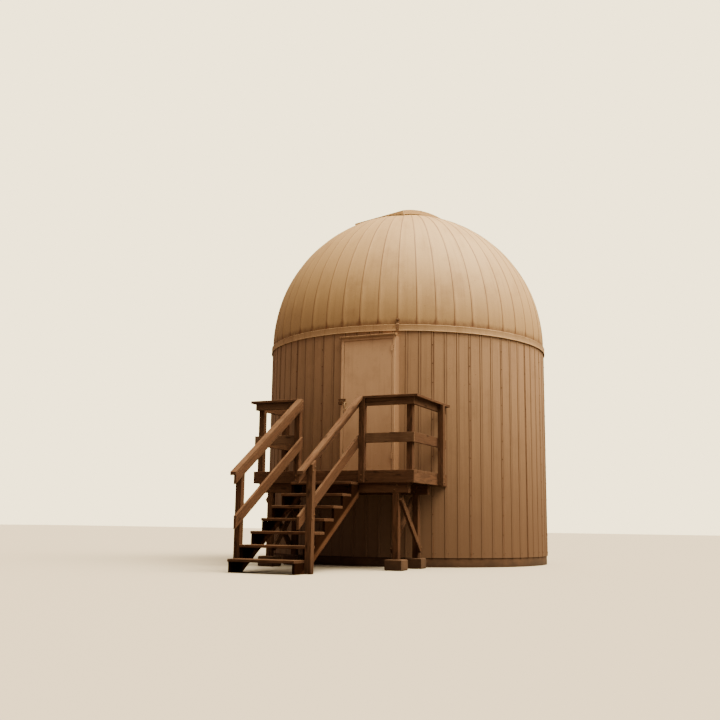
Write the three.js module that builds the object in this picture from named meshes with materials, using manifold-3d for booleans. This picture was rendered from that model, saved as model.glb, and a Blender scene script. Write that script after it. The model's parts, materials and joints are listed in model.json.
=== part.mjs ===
// A round observatory: a ribbed metal wall on a concrete ring, a turning dome with a shuttered slit,
// and a timber deck with stair and guards in front of the door.
// Millimetres. +Z is up, -Y is the front with the door and the stair, and +X is to the right of it.
// The origin is at ground level, in the middle of the plan's extents. All pieces are drawn about the
// building's own axis, which stands AXIS_Y behind the origin, because the stair reaches out in front.
import * as THREE from "three";
import { mergeVertices } from "three/addons/utils/BufferGeometryUtils.js";
import Module from "manifold-3d";

// Building
const AXIS_Y = 1372;
const WALL_RADIUS = 2440;
const WALL_THICKNESS = 110;
const WALL_TOP = 3620;
const WALL_STRIPS = 75;
const WALL_SEAM = -7.5;
const FOUNDATION_HEIGHT = 140;
const FOUNDATION_WIDTH = 200;
const FOUNDATION_SETBACK = 14;
const FLOOR_LEVEL = 1385;
const FLOOR_THICKNESS = 38;
const GAP = 0.3;
const SEAM_GAP = 0.01;

// Dome
const DOME_RADIUS = 2436;
const DOME_THICKNESS = 24;
const DOME_CENTRE = 3775;
const GORES = 50;
const GORES_A_PANEL = 10;
const DOME_STEP = 7.5;
const RING_INNER = 2350;
const RING_OUTER = 2446;
const RING_BOTTOM = 3690;
const RING_TOP = 3714;
const BAND_BOTTOM = 3611;
const BAND_RADIUS = 2460;
const BAND_THICKNESS = 10;

// Slit and shutters. Angles count from the zenith towards the slit's heading.
const SLIT_HEADING = 161.8;
const SLIT_HALF_WIDTH = 500;
const SLIT_END = -15.5;
const RAIL_WIDTH = 40;
const HOOD_END = -19.5;
const SHUTTER_SPLIT = 62;
const SPLIT_GAP = 0.15;
const SHUTTER_INNER = 2446;
const SHUTTER_SKIN = 12;
const SHUTTER_HALF_WIDTH = 580;
const FLANGE_INNER = 2380;
const FLANGE_THICKNESS = 12;
const RUNNER_CLEARANCE = 0.6;
const ARC_STEP = 2;

// Door
const DOOR_LEFT = -134;
const DOOR_WIDTH = 914;
const DOOR_FRONT = -2490;
const DOOR_BACK = -2190;
const JAMB = 45;
const STOP = 20;
const LEAF_THICKNESS = 44;
const LEAF_GAP = 5.5;
const LEAF_BOTTOM = 1432;
const LEAF_HEIGHT = 2032;

// Timber and the deck
const BOARD = 38;
const WIDE = 140;
const POST = 89;
const SEATED = 1;
const DECK_LEFT = -1140;
const DECK_RIGHT = 1437;
const DECK_FRONT = -3370;
const GUARD_TOP = 2448;
const MID_RAIL_TOP = 1915;
const TOP_BOARD = 102;
const CAP_WIDTH = 89;
const CAP_OUT_FRONT = 41;
const CAP_OUT_SIDE = 64;
const BLOCK_SIZE = 250;
const BLOCK_HEIGHT = 150;

// Stair
const RISERS = 8;
const GOING = 270;
const TREAD_DEPTH = 285;
const NOSING = 25;
const STAIR_LEFT = -356;
const STAIR_RIGHT = 600;
const STRINGER_DEPTH = 286;
const LOWER_POST_FRONT = -4985;
const CAP_FOOT = -5190;
const CAP_FOOT_TOP = 1272;
const RISE = FLOOR_LEVEL / RISERS;
const SLOPE = Math.atan2(RISE, GOING);

const wasm = await Module();
wasm.setup();

function finish(color, roughness, metalness) {
  return new THREE.MeshStandardMaterial({ color, roughness, metalness });
}

const SIDING = finish(0xb9a48c, 0.6, 0.3);
const DOME_PAINT = finish(0xc9b49c, 0.55, 0.3);
const BAND_METAL = finish(0xbfae98, 0.5, 0.5);
const DOOR_PAINT = finish(0xd6c2a6, 0.6, 0.1);
const STEEL = finish(0x5c544c, 0.5, 0.8);
const DARK_IRON = finish(0x3a2c24, 0.6, 0.8);
const TIMBER = finish(0x5a3f2c, 0.9, 0);
const CONCRETE = finish(0x8f877b, 0.95, 0);
const PLYWOOD = finish(0x8a7355, 0.85, 0);

const observatory = new THREE.Group();
const building = new THREE.Group();
building.position.y = AXIS_Y;
observatory.add(building);

function mesh(name, geometry, material, parent = building) {
  const made = new THREE.Mesh(geometry, material);
  made.name = name;
  parent.add(made);
}

const degrees = (angle) => THREE.MathUtils.degToRad(angle);

// A point on a circle about the axis. Azimuths count from the front towards +X.
const around = (radius, azimuth) =>
  new THREE.Vector2(radius * Math.sin(degrees(azimuth)), -radius * Math.cos(degrees(azimuth)));

// A point on the front half of that circle at a given X.
const atX = (radius, x) => new THREE.Vector2(x, -Math.sqrt(radius * radius - x * x));

// A closed geometry as a solid for joins and cuts, and back again.
function solid(geometry) {
  const bare = geometry.clone();
  bare.deleteAttribute("normal");
  bare.deleteAttribute("uv");
  const merged = mergeVertices(bare, 1e-3);
  return new wasm.Manifold(
    new wasm.Mesh({
      numProp: 3,
      vertProperties: merged.attributes.position.array,
      triVerts: new Uint32Array(merged.index.array),
    }),
  );
}

function surface(made) {
  const { vertProperties, triVerts } = made.getMesh();
  const geometry = new THREE.BufferGeometry();
  geometry.setAttribute("position", new THREE.BufferAttribute(vertProperties, 3));
  geometry.setIndex(new THREE.BufferAttribute(triVerts, 1));
  geometry.computeVertexNormals();
  return geometry;
}

function joined(geometries) {
  return surface(geometries.map(solid).reduce((whole, next) => whole.add(next)));
}

function cut(geometry, cutters) {
  return surface(cutters.map(solid).reduce((whole, next) => whole.subtract(next), solid(geometry)));
}

// A rectangular piece between any two opposite corners.
function between(corner, opposite) {
  const size = corner.map((value, i) => Math.abs(value - opposite[i]));
  const middle = corner.map((value, i) => (value + opposite[i]) / 2);
  return new THREE.BoxGeometry(...size).translate(...middle);
}

// A flat outline drawn in plan and raised from one level to another.
function raised(shape, bottom, top) {
  const geometry = new THREE.ExtrudeGeometry(shape, { depth: top - bottom, bevelEnabled: false });
  return geometry.translate(0, 0, bottom);
}

// A flat outline drawn in (Y, Z), as seen from the right, and given a thickness along X.
function sideways(points, left, right) {
  const shape = new THREE.Shape(points.map(([y, z]) => new THREE.Vector2(y, z)));
  const geometry = new THREE.ExtrudeGeometry(shape, { depth: right - left, bevelEnabled: false });
  geometry.rotateX(Math.PI / 2).rotateZ(Math.PI / 2);
  return geometry.translate(left, 0, 0);
}

// A full circle of points about the axis, and a ring of rectangular section on such circles.
const STRIP = 360 / WALL_STRIPS;
const circle = (radius) => Array.from({ length: WALL_STRIPS }, (_, i) => around(radius, WALL_SEAM + i * STRIP));

function ring(inner, outer, bottom, top) {
  const shape = new THREE.Shape(circle(outer));
  shape.holes.push(new THREE.Path(circle(inner)));
  return raised(shape, bottom, top);
}

// Concrete ring under the wall.
const FOUNDATION_OUTER = WALL_RADIUS - FOUNDATION_SETBACK;
mesh(
  "foundation_ring",
  ring(FOUNDATION_OUTER - FOUNDATION_WIDTH, FOUNDATION_OUTER, 0, FOUNDATION_HEIGHT - GAP),
  CONCRETE,
);

// Round wall. The strip that holds the door is bounded by two planes square to the door.
const WALL_INNER = WALL_RADIUS - WALL_THICKNESS;
const DOOR_RIGHT = DOOR_LEFT + DOOR_WIDTH;

function wallPlan(azimuths, startX, endX) {
  const side = (radius) => {
    const points = azimuths.map((azimuth) => around(radius, azimuth));
    if (startX !== undefined) points.unshift(atX(radius, startX));
    if (endX !== undefined) points.push(atX(radius, endX));
    return points;
  };
  return new THREE.Shape([...side(WALL_RADIUS), ...side(WALL_INNER).reverse()]);
}

const DOOR_STRIPS = 6;
const PANEL_STRIPS = [11, 12, 12, 12, 11, 11];
let strip = DOOR_STRIPS;
PANEL_STRIPS.forEach((count, i) => {
  const first = i === 0;
  const last = i === PANEL_STRIPS.length - 1;
  const azimuths = Array.from({ length: count + 1 }, (_, k) => WALL_SEAM + (strip + k) * STRIP);
  if (!first) azimuths[0] += SEAM_GAP;
  if (!last) azimuths[count] -= SEAM_GAP;
  strip += count;
  const plan = wallPlan(azimuths, first ? DOOR_RIGHT + GAP : undefined, last ? DOOR_LEFT - GAP : undefined);
  mesh("wall_panel_" + (i + 1), raised(plan, FOUNDATION_HEIGHT, WALL_TOP), SIDING);
});

const STRIPS_AT_DOOR = [1, 2, 3, 4, 5];
const doorStrip = wallPlan(
  STRIPS_AT_DOOR.map((k) => WALL_SEAM + k * STRIP),
  DOOR_LEFT,
  DOOR_RIGHT,
);
const LEAF_TOP = LEAF_BOTTOM + LEAF_HEIGHT;
const HEAD_BOTTOM = LEAF_TOP + LEAF_GAP;
const HEAD_TOP = HEAD_BOTTOM + JAMB;
mesh("wall_under_door", raised(doorStrip, FOUNDATION_HEIGHT, FLOOR_LEVEL), SIDING);
mesh("wall_over_door", raised(doorStrip, HEAD_TOP + GAP, WALL_TOP), SIDING);

// Top plate of the wall, with the rollers that carry the dome fixed on it between cheeks.
const PLATE_TOP = 3648;
const PLATE_INSET = 6;
const ROLLERS = 10;
const ROLLER_RADIUS = 30;
const ROLLER_LENGTH = 42;
const ROLLER_TRACK = 2395;
const CHEEK_THICKNESS = 8;
const CHEEK_HALF_LENGTH = 20;
const CHEEK_SPACING = 34;
const CHEEK_DROP = 18;
const rollerTop = RING_BOTTOM - GAP;
const rollers = Array.from({ length: ROLLERS }, (_, i) => {
  const azimuth = degrees((i + 0.5) * (360 / ROLLERS));
  const wheel = new THREE.CylinderGeometry(ROLLER_RADIUS, ROLLER_RADIUS, ROLLER_LENGTH, 20);
  wheel.translate(0, -ROLLER_TRACK, rollerTop - ROLLER_RADIUS);
  const cheeks = [-1, 1].map((side) => {
    const face = -ROLLER_TRACK + (side * CHEEK_SPACING) / 2 - CHEEK_THICKNESS / 2;
    return between(
      [-CHEEK_HALF_LENGTH, face, PLATE_TOP - SEATED],
      [CHEEK_HALF_LENGTH, face + CHEEK_THICKNESS, rollerTop - CHEEK_DROP],
    );
  });
  return [wheel, ...cheeks].map((piece) => piece.rotateZ(azimuth));
});
const plate = ring(WALL_INNER + PLATE_INSET, WALL_RADIUS - PLATE_INSET, WALL_TOP + GAP, PLATE_TOP);
mesh("wall_top_ring", joined([plate, ...rollers.flat()]), STEEL);

// Raised floor inside, on a ledger round the wall.
const FLOOR_RADIUS = WALL_INNER - 2;
const LEDGER_WIDTH = 90;
const FLOOR_BOTTOM = FLOOR_LEVEL - FLOOR_THICKNESS;
mesh(
  "floor_ledger",
  ring(FLOOR_RADIUS - LEDGER_WIDTH, WALL_INNER - GAP, FLOOR_BOTTOM - GAP - WIDE, FLOOR_BOTTOM - GAP),
  TIMBER,
);
mesh("interior_floor", raised(new THREE.Shape(circle(FLOOR_RADIUS)), FLOOR_BOTTOM, FLOOR_LEVEL), PLYWOOD);

// Door casing: two jambs and a head in one piece, with a stop round the leaf.
const INNER_LEFT = DOOR_LEFT + JAMB;
const INNER_RIGHT = DOOR_RIGHT - JAMB;
const LEAF_FRONT = DOOR_FRONT + 5;
const LEAF_BACK = LEAF_FRONT + LEAF_THICKNESS;
const frameBottom = FLOOR_LEVEL + GAP;
const stopFront = LEAF_BACK + 6;
const stopBack = stopFront + STOP;
const stopTop = HEAD_TOP - SEATED;
mesh(
  "door_frame",
  joined([
    between([DOOR_LEFT, DOOR_FRONT, frameBottom], [INNER_LEFT, DOOR_BACK, HEAD_TOP]),
    between([INNER_RIGHT, DOOR_FRONT, frameBottom], [DOOR_RIGHT, DOOR_BACK, HEAD_TOP]),
    between([DOOR_LEFT, DOOR_FRONT, HEAD_BOTTOM], [DOOR_RIGHT, DOOR_BACK, HEAD_TOP]),
    between([INNER_LEFT - SEATED, stopFront, frameBottom + JAMB], [INNER_LEFT + STOP, stopBack, stopTop]),
    between([INNER_RIGHT - STOP, stopFront, frameBottom + JAMB], [INNER_RIGHT + SEATED, stopBack, stopTop]),
    between([INNER_LEFT - SEATED, stopFront, HEAD_BOTTOM - STOP], [INNER_RIGHT + SEATED, stopBack, stopTop]),
  ]),
  DOOR_PAINT,
);
const SILL_NOSE = 20;
const SILL_TOP = LEAF_BOTTOM - 6;
mesh(
  "door_sill",
  between([INNER_LEFT + GAP, DOOR_FRONT - SILL_NOSE, frameBottom], [INNER_RIGHT - GAP, DOOR_BACK, SILL_TOP]),
  STEEL,
);

// Door leaf, hung on the right and opening out over the deck.
const LEAF_LEFT = INNER_LEFT + LEAF_GAP;
const LEAF_RIGHT = INNER_RIGHT - LEAF_GAP;
mesh("door_leaf", between([LEAF_LEFT, LEAF_FRONT, LEAF_BOTTOM], [LEAF_RIGHT, LEAF_BACK, LEAF_TOP]), DOOR_PAINT);

// Hinges: two knuckles on a plate on the casing, and a third between them on a plate on the leaf.
const HINGE_X = (LEAF_RIGHT + INNER_RIGHT) / 2;
const HINGE_Y = LEAF_FRONT - 14;
const KNUCKLE_RADIUS = 8;
const KNUCKLE = 33;
const PLATE_THICKNESS = 3;
const PLATE_WIDTH = 30;
const HINGES = { upper: 3316, lower: 1652 };

function knuckle(level, length) {
  const barrel = new THREE.CylinderGeometry(KNUCKLE_RADIUS, KNUCKLE_RADIUS, length, 16);
  return barrel.rotateX(Math.PI / 2).translate(HINGE_X, HINGE_Y, level);
}

for (const [place, level] of Object.entries(HINGES)) {
  const plateX = HINGE_X + KNUCKLE_RADIUS + SEATED;
  const plateBack = DOOR_FRONT - GAP;
  const plateFront = plateBack - PLATE_THICKNESS;
  const half = KNUCKLE * 1.5;
  const arms = [-KNUCKLE, KNUCKLE].flatMap((offset) => [
    knuckle(level + offset, KNUCKLE),
    between(
      [HINGE_X, HINGE_Y - 2, level + offset - KNUCKLE / 2],
      [plateX + SEATED, plateBack, level + offset + KNUCKLE / 2],
    ),
  ]);
  const fixed = between([plateX, plateFront, level - half], [plateX + PLATE_WIDTH, plateBack, level + half]);
  mesh("door_hinge_" + place, joined([...arms, fixed]), DARK_IRON);

  const length = KNUCKLE - 2 * GAP;
  const leafPlateFront = LEAF_FRONT - GAP - PLATE_THICKNESS;
  const swinging = [
    knuckle(level, length),
    between(
      [HINGE_X - KNUCKLE_RADIUS, HINGE_Y, level - length / 2],
      [HINGE_X - 3, LEAF_FRONT - GAP, level + length / 2],
    ),
    between(
      [HINGE_X - PLATE_WIDTH - KNUCKLE_RADIUS, leafPlateFront, level - half],
      [HINGE_X - 3, LEAF_FRONT - GAP, level + half],
    ),
  ];
  mesh("door_hinge_leaf_" + place, joined(swinging), DARK_IRON);
}

// Curved pull on the leaf, round bar between two feet.
const PULL_X = LEAF_LEFT + 40;
const PULL_LEVEL = 2440;
const PULL_REACH = 46;
const PULL_HALF = 52;
const PULL_BAR = 7;
const PULL_FOOT = { halfWidth: 15, halfHeight: 22, thickness: 6 };
const bendOf = (reach, level) => new THREE.Vector3(PULL_X, LEAF_FRONT - reach, PULL_LEVEL + level);
const pullRoute = new THREE.CatmullRomCurve3([
  bendOf(4, PULL_HALF),
  bendOf(PULL_REACH, PULL_HALF * 0.7),
  bendOf(PULL_REACH, PULL_HALF * -0.7),
  bendOf(4, -PULL_HALF),
]);
const barSection = new THREE.Shape(new THREE.EllipseCurve(0, 0, PULL_BAR, PULL_BAR).getPoints(10).slice(0, 10));
const grip = new THREE.ExtrudeGeometry(barSection, { steps: 18, bevelEnabled: false, extrudePath: pullRoute });
const pullFeet = [-PULL_HALF, PULL_HALF].map((offset) =>
  between(
    [
      PULL_X - PULL_FOOT.halfWidth,
      LEAF_FRONT - GAP - PULL_FOOT.thickness,
      PULL_LEVEL + offset - PULL_FOOT.halfHeight,
    ],
    [PULL_X + PULL_FOOT.halfWidth, LEAF_FRONT - GAP, PULL_LEVEL + offset + PULL_FOOT.halfHeight],
  ),
);
mesh("door_pull", joined([grip, ...pullFeet]), BAND_METAL);

// Hasp: a strap from the leaf across the casing, with a lock body hanging from it.
const HASP_LEVEL = 2542;
const STRAP_HALF = 14;
const STRAP_THICKNESS = 6;
const STRAP_REACH = 88;
const STRAP_FOOT = 36;
const LOCK_INSET = 4;
const LOCK_WIDTH = 70;
const LOCK_HEIGHT = 72;
const LOCK_DEPTH = 30;
const strapBack = DOOR_FRONT - STRAP_THICKNESS;
const strapFront = strapBack - STRAP_THICKNESS;
const strapLow = HASP_LEVEL - STRAP_HALF;
const strapHigh = HASP_LEVEL + STRAP_HALF;
const strapEnd = LEAF_LEFT + STRAP_FOOT;
const lockRight = LEAF_LEFT - LOCK_INSET;
const lockTop = strapLow + 2;
mesh(
  "door_hasp",
  joined([
    between([LEAF_LEFT + LOCK_INSET, strapFront, strapLow], [strapEnd, LEAF_FRONT - GAP, strapHigh]),
    between([LEAF_LEFT - STRAP_REACH, strapFront, strapLow], [strapEnd, strapBack, strapHigh]),
    between(
      [lockRight - LOCK_WIDTH, strapBack - 2 - LOCK_DEPTH, lockTop - LOCK_HEIGHT],
      [lockRight, strapBack - 2, lockTop],
    ),
  ]),
  DARK_IRON,
);

// Drip cap over the door, a sheet bent down over the head of the casing.
const DRIP_OVERHANG = 35;
const DRIP_SHEET = 6;
const DRIP_TURNDOWN = 8;
const DRIP_FRONT_RISE = 22;
const DRIP_BACK_RISE = 46;
const DRIP_PAST = { left: 30, right: 20 };
const dripFront = DOOR_FRONT - DRIP_OVERHANG;
const dripBack = atX(WALL_RADIUS, DOOR_LEFT).y - 4;
mesh(
  "door_drip_cap",
  sideways(
    [
      [dripFront, HEAD_TOP - DRIP_TURNDOWN],
      [dripFront + DRIP_SHEET, HEAD_TOP - DRIP_TURNDOWN],
      [dripFront + DRIP_SHEET, HEAD_TOP + GAP],
      [dripBack, HEAD_TOP + GAP],
      [dripBack, HEAD_TOP + DRIP_BACK_RISE],
      [dripFront, HEAD_TOP + DRIP_FRONT_RISE],
    ],
    DOOR_LEFT - DRIP_PAST.left,
    DOOR_RIGHT + DRIP_PAST.right,
  ),
  BAND_METAL,
);

// Turning dome. Its own group has the slit heading along +X and the sphere's centre at the origin.
const dome = new THREE.Group();
dome.position.z = DOME_CENTRE;
dome.rotation.z = degrees(SLIT_HEADING - 90);
building.add(dome);

const ringBottom = RING_BOTTOM - DOME_CENTRE;
const ringTop = RING_TOP - DOME_CENTRE;
mesh("dome_base_ring", ring(RING_INNER, RING_OUTER, ringBottom, ringTop), STEEL, dome);

// Band round the foot of the dome, rolled over the base ring and hanging outside the wall's head.
const BAND_FOLD = 12;
const bandBottom = BAND_BOTTOM - DOME_CENTRE;
const bandInner = BAND_RADIUS - BAND_THICKNESS;
const bandProfile = [
  [BAND_RADIUS, bandBottom],
  [BAND_RADIUS, ringTop],
  [RING_OUTER + GAP, ringTop],
  [RING_OUTER + GAP, ringTop - BAND_FOLD],
  [bandInner, ringTop - BAND_FOLD],
  [bandInner, bandBottom],
  [BAND_RADIUS, bandBottom],
].map(([x, y]) => new THREE.Vector2(x, y));
const band = new THREE.LatheGeometry(bandProfile, WALL_STRIPS, degrees(WALL_SEAM), Math.PI * 2);
mesh("skirt_band", surface(solid(band.rotateX(Math.PI / 2))), BAND_METAL, dome);

// The slit's cutter and its pieces are outlines in the plane of the heading, given a width across it.
function onArc(radius, angle) {
  return new THREE.Vector2(radius * Math.sin(degrees(angle)), radius * Math.cos(degrees(angle)));
}

function arcPoints(radius, from, to) {
  const steps = Math.max(1, Math.ceil(Math.abs(to - from) / ARC_STEP));
  return Array.from({ length: steps + 1 }, (_, i) => onArc(radius, from + ((to - from) * i) / steps));
}

function across(points, low, high) {
  const geometry = new THREE.ExtrudeGeometry(new THREE.Shape(points), { depth: high - low, bevelEnabled: false });
  return geometry.translate(0, 0, low).rotateX(Math.PI / 2);
}

// An arched strip between two radii, run straight down below the horizon where a foot level is given.
function arch(inner, outer, from, to, low, high, foot) {
  const rim = arcPoints(outer, from, to);
  const soffit = arcPoints(inner, from, to).reverse();
  const legs = foot === undefined ? [] : [new THREE.Vector2(outer, foot), new THREE.Vector2(inner, foot)];
  return across([...rim, ...legs, ...soffit].reverse(), low, high);
}

const railFar = SLIT_HALF_WIDTH + RAIL_WIDTH;
const BEYOND = WALL_RADIUS * 1.5;
const SLIT_CUT_END = SLIT_END - 2;
const cutter = across(
  [
    new THREE.Vector2(0, 0),
    new THREE.Vector2(0, ringBottom),
    new THREE.Vector2(BEYOND, ringBottom),
    new THREE.Vector2(BEYOND, BEYOND),
    new THREE.Vector2(0, BEYOND),
    onArc(BEYOND, SLIT_CUT_END),
  ],
  -railFar - GAP,
  railFar + GAP,
);

// Shell of the dome: one turned skin, cut into panels of ten gores and opened for the slit.
const shellFoot = ringTop + GAP;
const shellInner = DOME_RADIUS - DOME_THICKNESS;
const elevations = Array.from({ length: 90 / DOME_STEP + 1 }, (_, i) => i * DOME_STEP);
const shellProfile = [
  ...elevations.map((angle) => onArc(DOME_RADIUS, angle)),
  new THREE.Vector2(DOME_RADIUS, shellFoot),
  new THREE.Vector2(shellInner, shellFoot),
  ...elevations.map((angle) => onArc(shellInner, angle)).reverse(),
].reverse();
const turned = new THREE.LatheGeometry(shellProfile, GORES, degrees(90), Math.PI * 2).rotateX(Math.PI / 2);
const shell = solid(turned).subtract(solid(cutter));
const PANELS = GORES / GORES_A_PANEL;
for (let i = 0; i < PANELS; i++) {
  const start = 90 + (i * 360) / PANELS + SEAM_GAP;
  const end = 90 + ((i + 1) * 360) / PANELS - SEAM_GAP;
  const wedge = new THREE.Shape([
    new THREE.Vector2(0, 0),
    around(BEYOND, start),
    around(BEYOND, (start + end) / 2),
    around(BEYOND, end),
  ]);
  const panel = shell.intersect(solid(raised(wedge, ringBottom, BEYOND)));
  mesh("dome_gores_" + (i + 1), surface(panel), DOME_PAINT, dome);
}

// Rails along both sides of the slit, which the shutters run on, with a header and a sill between them.
const RAIL_INNER = RING_INNER;
const RAIL_OUTER = SHUTTER_INNER - RUNNER_CLEARANCE;
const railEnd = SLIT_CUT_END + SEAM_GAP;
for (const [side, sign] of Object.entries({ left: 1, right: -1 })) {
  const [low, high] = [sign * SLIT_HALF_WIDTH, sign * railFar].sort((a, b) => a - b);
  mesh("slit_rail_" + side, arch(RAIL_INNER, RAIL_OUTER, railEnd, 90, low, high, shellFoot), STEEL, dome);
}
const betweenRails = SLIT_HALF_WIDTH - GAP;
const SILL_HEIGHT = 24;
mesh("slit_header", arch(RAIL_INNER, DOME_RADIUS, railEnd, SLIT_END, -betweenRails, betweenRails), STEEL, dome);
mesh(
  "slit_sill",
  between([RAIL_INNER, -betweenRails, shellFoot], [RAIL_OUTER, betweenRails, shellFoot + SILL_HEIGHT]),
  STEEL,
  dome,
);

// Shutters: a skin that is flat across, with a flange down each side. The upper one, the hood, has an
// end plate that closes it down to the dome.
const shutterOuter = SHUTTER_INNER + SHUTTER_SKIN;

function shutter(from, to, foot) {
  const flangeInside = SHUTTER_HALF_WIDTH - FLANGE_THICKNESS;
  return [
    arch(SHUTTER_INNER, shutterOuter, from, to, -SHUTTER_HALF_WIDTH, SHUTTER_HALF_WIDTH, foot),
    arch(FLANGE_INNER, shutterOuter, from, to, -SHUTTER_HALF_WIDTH, -flangeInside, foot),
    arch(FLANGE_INNER, shutterOuter, from, to, flangeInside, SHUTTER_HALF_WIDTH, foot),
  ];
}

const END_PLATE = 0.3;
const END_CLEARANCE = 14;
const LOWER_FOOT = 3;
const ball = new THREE.SphereGeometry(DOME_RADIUS + END_CLEARANCE, 60, 40);
const endPlate = cut(
  arch(FLANGE_INNER, shutterOuter, HOOD_END, HOOD_END + END_PLATE, -SHUTTER_HALF_WIDTH, SHUTTER_HALF_WIDTH),
  [ball],
);
mesh("upper_shutter", joined([...shutter(HOOD_END, SHUTTER_SPLIT), endPlate]), DOME_PAINT, dome);
mesh("lower_shutter", joined(shutter(SHUTTER_SPLIT + SPLIT_GAP, 90, shellFoot + LOWER_FOOT)), DOME_PAINT, dome);

// Deck: boards laid as one slab on a frame of joists. Its back edge follows the wall.
const DECK_TOP = FLOOR_LEVEL;
const JOIST_TOP = DECK_TOP - BOARD - GAP;
const JOIST_BOTTOM = JOIST_TOP - WIDE;
const DECK_BACK_RADIUS = WALL_RADIUS + 3;
const BACK_STEP = 200;

function backEdge(radius, left, right) {
  const steps = Math.max(2, Math.round(Math.abs(right - left) / BACK_STEP));
  return Array.from({ length: steps + 1 }, (_, i) => atX(radius, left + ((right - left) * i) / steps));
}

function deckPlan() {
  return new THREE.Shape([
    new THREE.Vector2(DECK_LEFT, DECK_FRONT),
    new THREE.Vector2(DECK_RIGHT, DECK_FRONT),
    ...backEdge(DECK_BACK_RADIUS, DECK_RIGHT, DECK_LEFT),
  ]);
}

mesh("deck_floor", raised(deckPlan(), DECK_TOP - BOARD, DECK_TOP), TIMBER);

const BAYS = 6;
const bayPitch = (DECK_RIGHT - DECK_LEFT - BOARD) / BAYS;
const bays = Array.from({ length: BAYS }, (_, i) => {
  const left = DECK_LEFT + BOARD + i * bayPitch;
  const right = DECK_LEFT + (i + 1) * bayPitch;
  const bay = new THREE.Shape([
    new THREE.Vector2(left, DECK_FRONT + BOARD),
    new THREE.Vector2(right, DECK_FRONT + BOARD),
    ...backEdge(DECK_BACK_RADIUS + BOARD, right, left),
  ]);
  return raised(bay, JOIST_BOTTOM - SEATED, JOIST_TOP + SEATED);
});
mesh("deck_frame", cut(raised(deckPlan(), JOIST_BOTTOM, JOIST_TOP), bays), TIMBER);

// Two beams under the joists, each on two legs. Front and rear leg are braced crosswise.
const LEG_X = { left: -904, right: 1110 };
const LEG_FRONT = -3350;
const LEG_REAR = -2580;
const BEAM_INSET = 6;
const BEAM_REACH = 150;
const BEAM_TOP = JOIST_BOTTOM - GAP;
const BEAM_BOTTOM = BEAM_TOP - WIDE;
for (const [place, front] of Object.entries({ front: LEG_FRONT, rear: LEG_REAR })) {
  const low = [LEG_X.left - BEAM_REACH, front + BEAM_INSET, BEAM_BOTTOM];
  const high = [LEG_X.right + POST + BEAM_REACH, front + POST - BEAM_INSET, BEAM_TOP];
  mesh("deck_beam_" + place, between(low, high), TIMBER);
}

// A brace on the side of the legs, run between two points of the (Y, Z) plane.
function brace(start, end, left, right) {
  const [dy, dz] = [end[0] - start[0], end[1] - start[1]];
  const geometry = new THREE.BoxGeometry(right - left, Math.hypot(dy, dz), POST);
  geometry.rotateX(Math.atan2(dz, dy));
  return geometry.translate((left + right) / 2, (start[0] + end[0]) / 2, (start[1] + end[1]) / 2);
}

const LEG_TOP = BEAM_BOTTOM - GAP;
const LEG_FOOT = BLOCK_HEIGHT + GAP;
const BRACE_TOP = LEG_TOP - 70;
const BRACE_FOOT = BLOCK_HEIGHT + 110;
const BLOCK_MARGIN = (BLOCK_SIZE - POST) / 2;
const BLOCK_BEHIND = -WALL_RADIUS - 8;
for (const [side, x] of Object.entries(LEG_X)) {
  const rightFace = [x + POST - SEATED, x + POST + BOARD];
  const leftFace = [x - BOARD, x + SEATED];
  const [outer, inner] = side === "right" ? [rightFace, leftFace] : [leftFace, rightFace];
  const frontY = LEG_FRONT + POST / 2;
  const rearY = LEG_REAR + POST / 2;
  mesh(
    "deck_legs_" + side,
    joined([
      between([x, LEG_FRONT, LEG_FOOT], [x + POST, LEG_FRONT + POST, LEG_TOP]),
      between([x, LEG_REAR, LEG_FOOT], [x + POST, LEG_REAR + POST, LEG_TOP]),
      brace([frontY, BRACE_TOP], [rearY, BRACE_FOOT], ...outer),
      brace([frontY, BRACE_FOOT], [rearY, BRACE_TOP], ...inner),
    ]),
    TIMBER,
  );
  for (const [place, front] of Object.entries({ front: LEG_FRONT, rear: LEG_REAR })) {
    const behind = Math.min(front + POST + BLOCK_MARGIN, BLOCK_BEHIND);
    mesh(
      "footing_block_" + place + "_" + side,
      between([x - BLOCK_MARGIN, front - BLOCK_MARGIN, 0], [x + POST + BLOCK_MARGIN, behind, BLOCK_HEIGHT]),
      CONCRETE,
    );
  }
}

// Stair: notched stringers on the ground and against the deck's rim, with seven plank treads.
const treadTop = (k) => k * RISE;
const nosingY = (k) => DECK_FRONT - (RISERS - k) * GOING;
const plumb = (size, slope = SLOPE) => size / Math.cos(slope);
const seat = (k) => treadTop(k) - BOARD - GAP;
const topOfRun = DECK_FRONT - GAP;
const lowerEdge = (y) => DECK_TOP - BOARD + (y - DECK_FRONT) * Math.tan(SLOPE) - plumb(STRINGER_DEPTH);
const lowerEdgeAtGround = DECK_FRONT + (plumb(STRINGER_DEPTH) - DECK_TOP + BOARD) / Math.tan(SLOPE);
const notches = [];
for (let k = 1; k < RISERS; k++) {
  notches.push([nosingY(k) + NOSING, seat(k)]);
  notches.push([k < RISERS - 1 ? nosingY(k + 1) + NOSING : topOfRun, seat(k)]);
}
const stringerOutline = [
  [nosingY(1) + NOSING, 0],
  [lowerEdgeAtGround, 0],
  [topOfRun, lowerEdge(topOfRun)],
  ...notches.reverse(),
];
for (const [side, left] of Object.entries({ left: STAIR_LEFT, right: STAIR_RIGHT - BOARD })) {
  mesh("stair_stringer_" + side, sideways(stringerOutline, left, left + BOARD), TIMBER);
}
for (let k = 1; k < RISERS; k++) {
  const back = Math.min(nosingY(k) + TREAD_DEPTH, topOfRun);
  mesh(
    "stair_tread_" + k,
    between([STAIR_LEFT, nosingY(k), treadTop(k) - BOARD], [STAIR_RIGHT, back, treadTop(k)]),
    TIMBER,
  );
}

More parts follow.
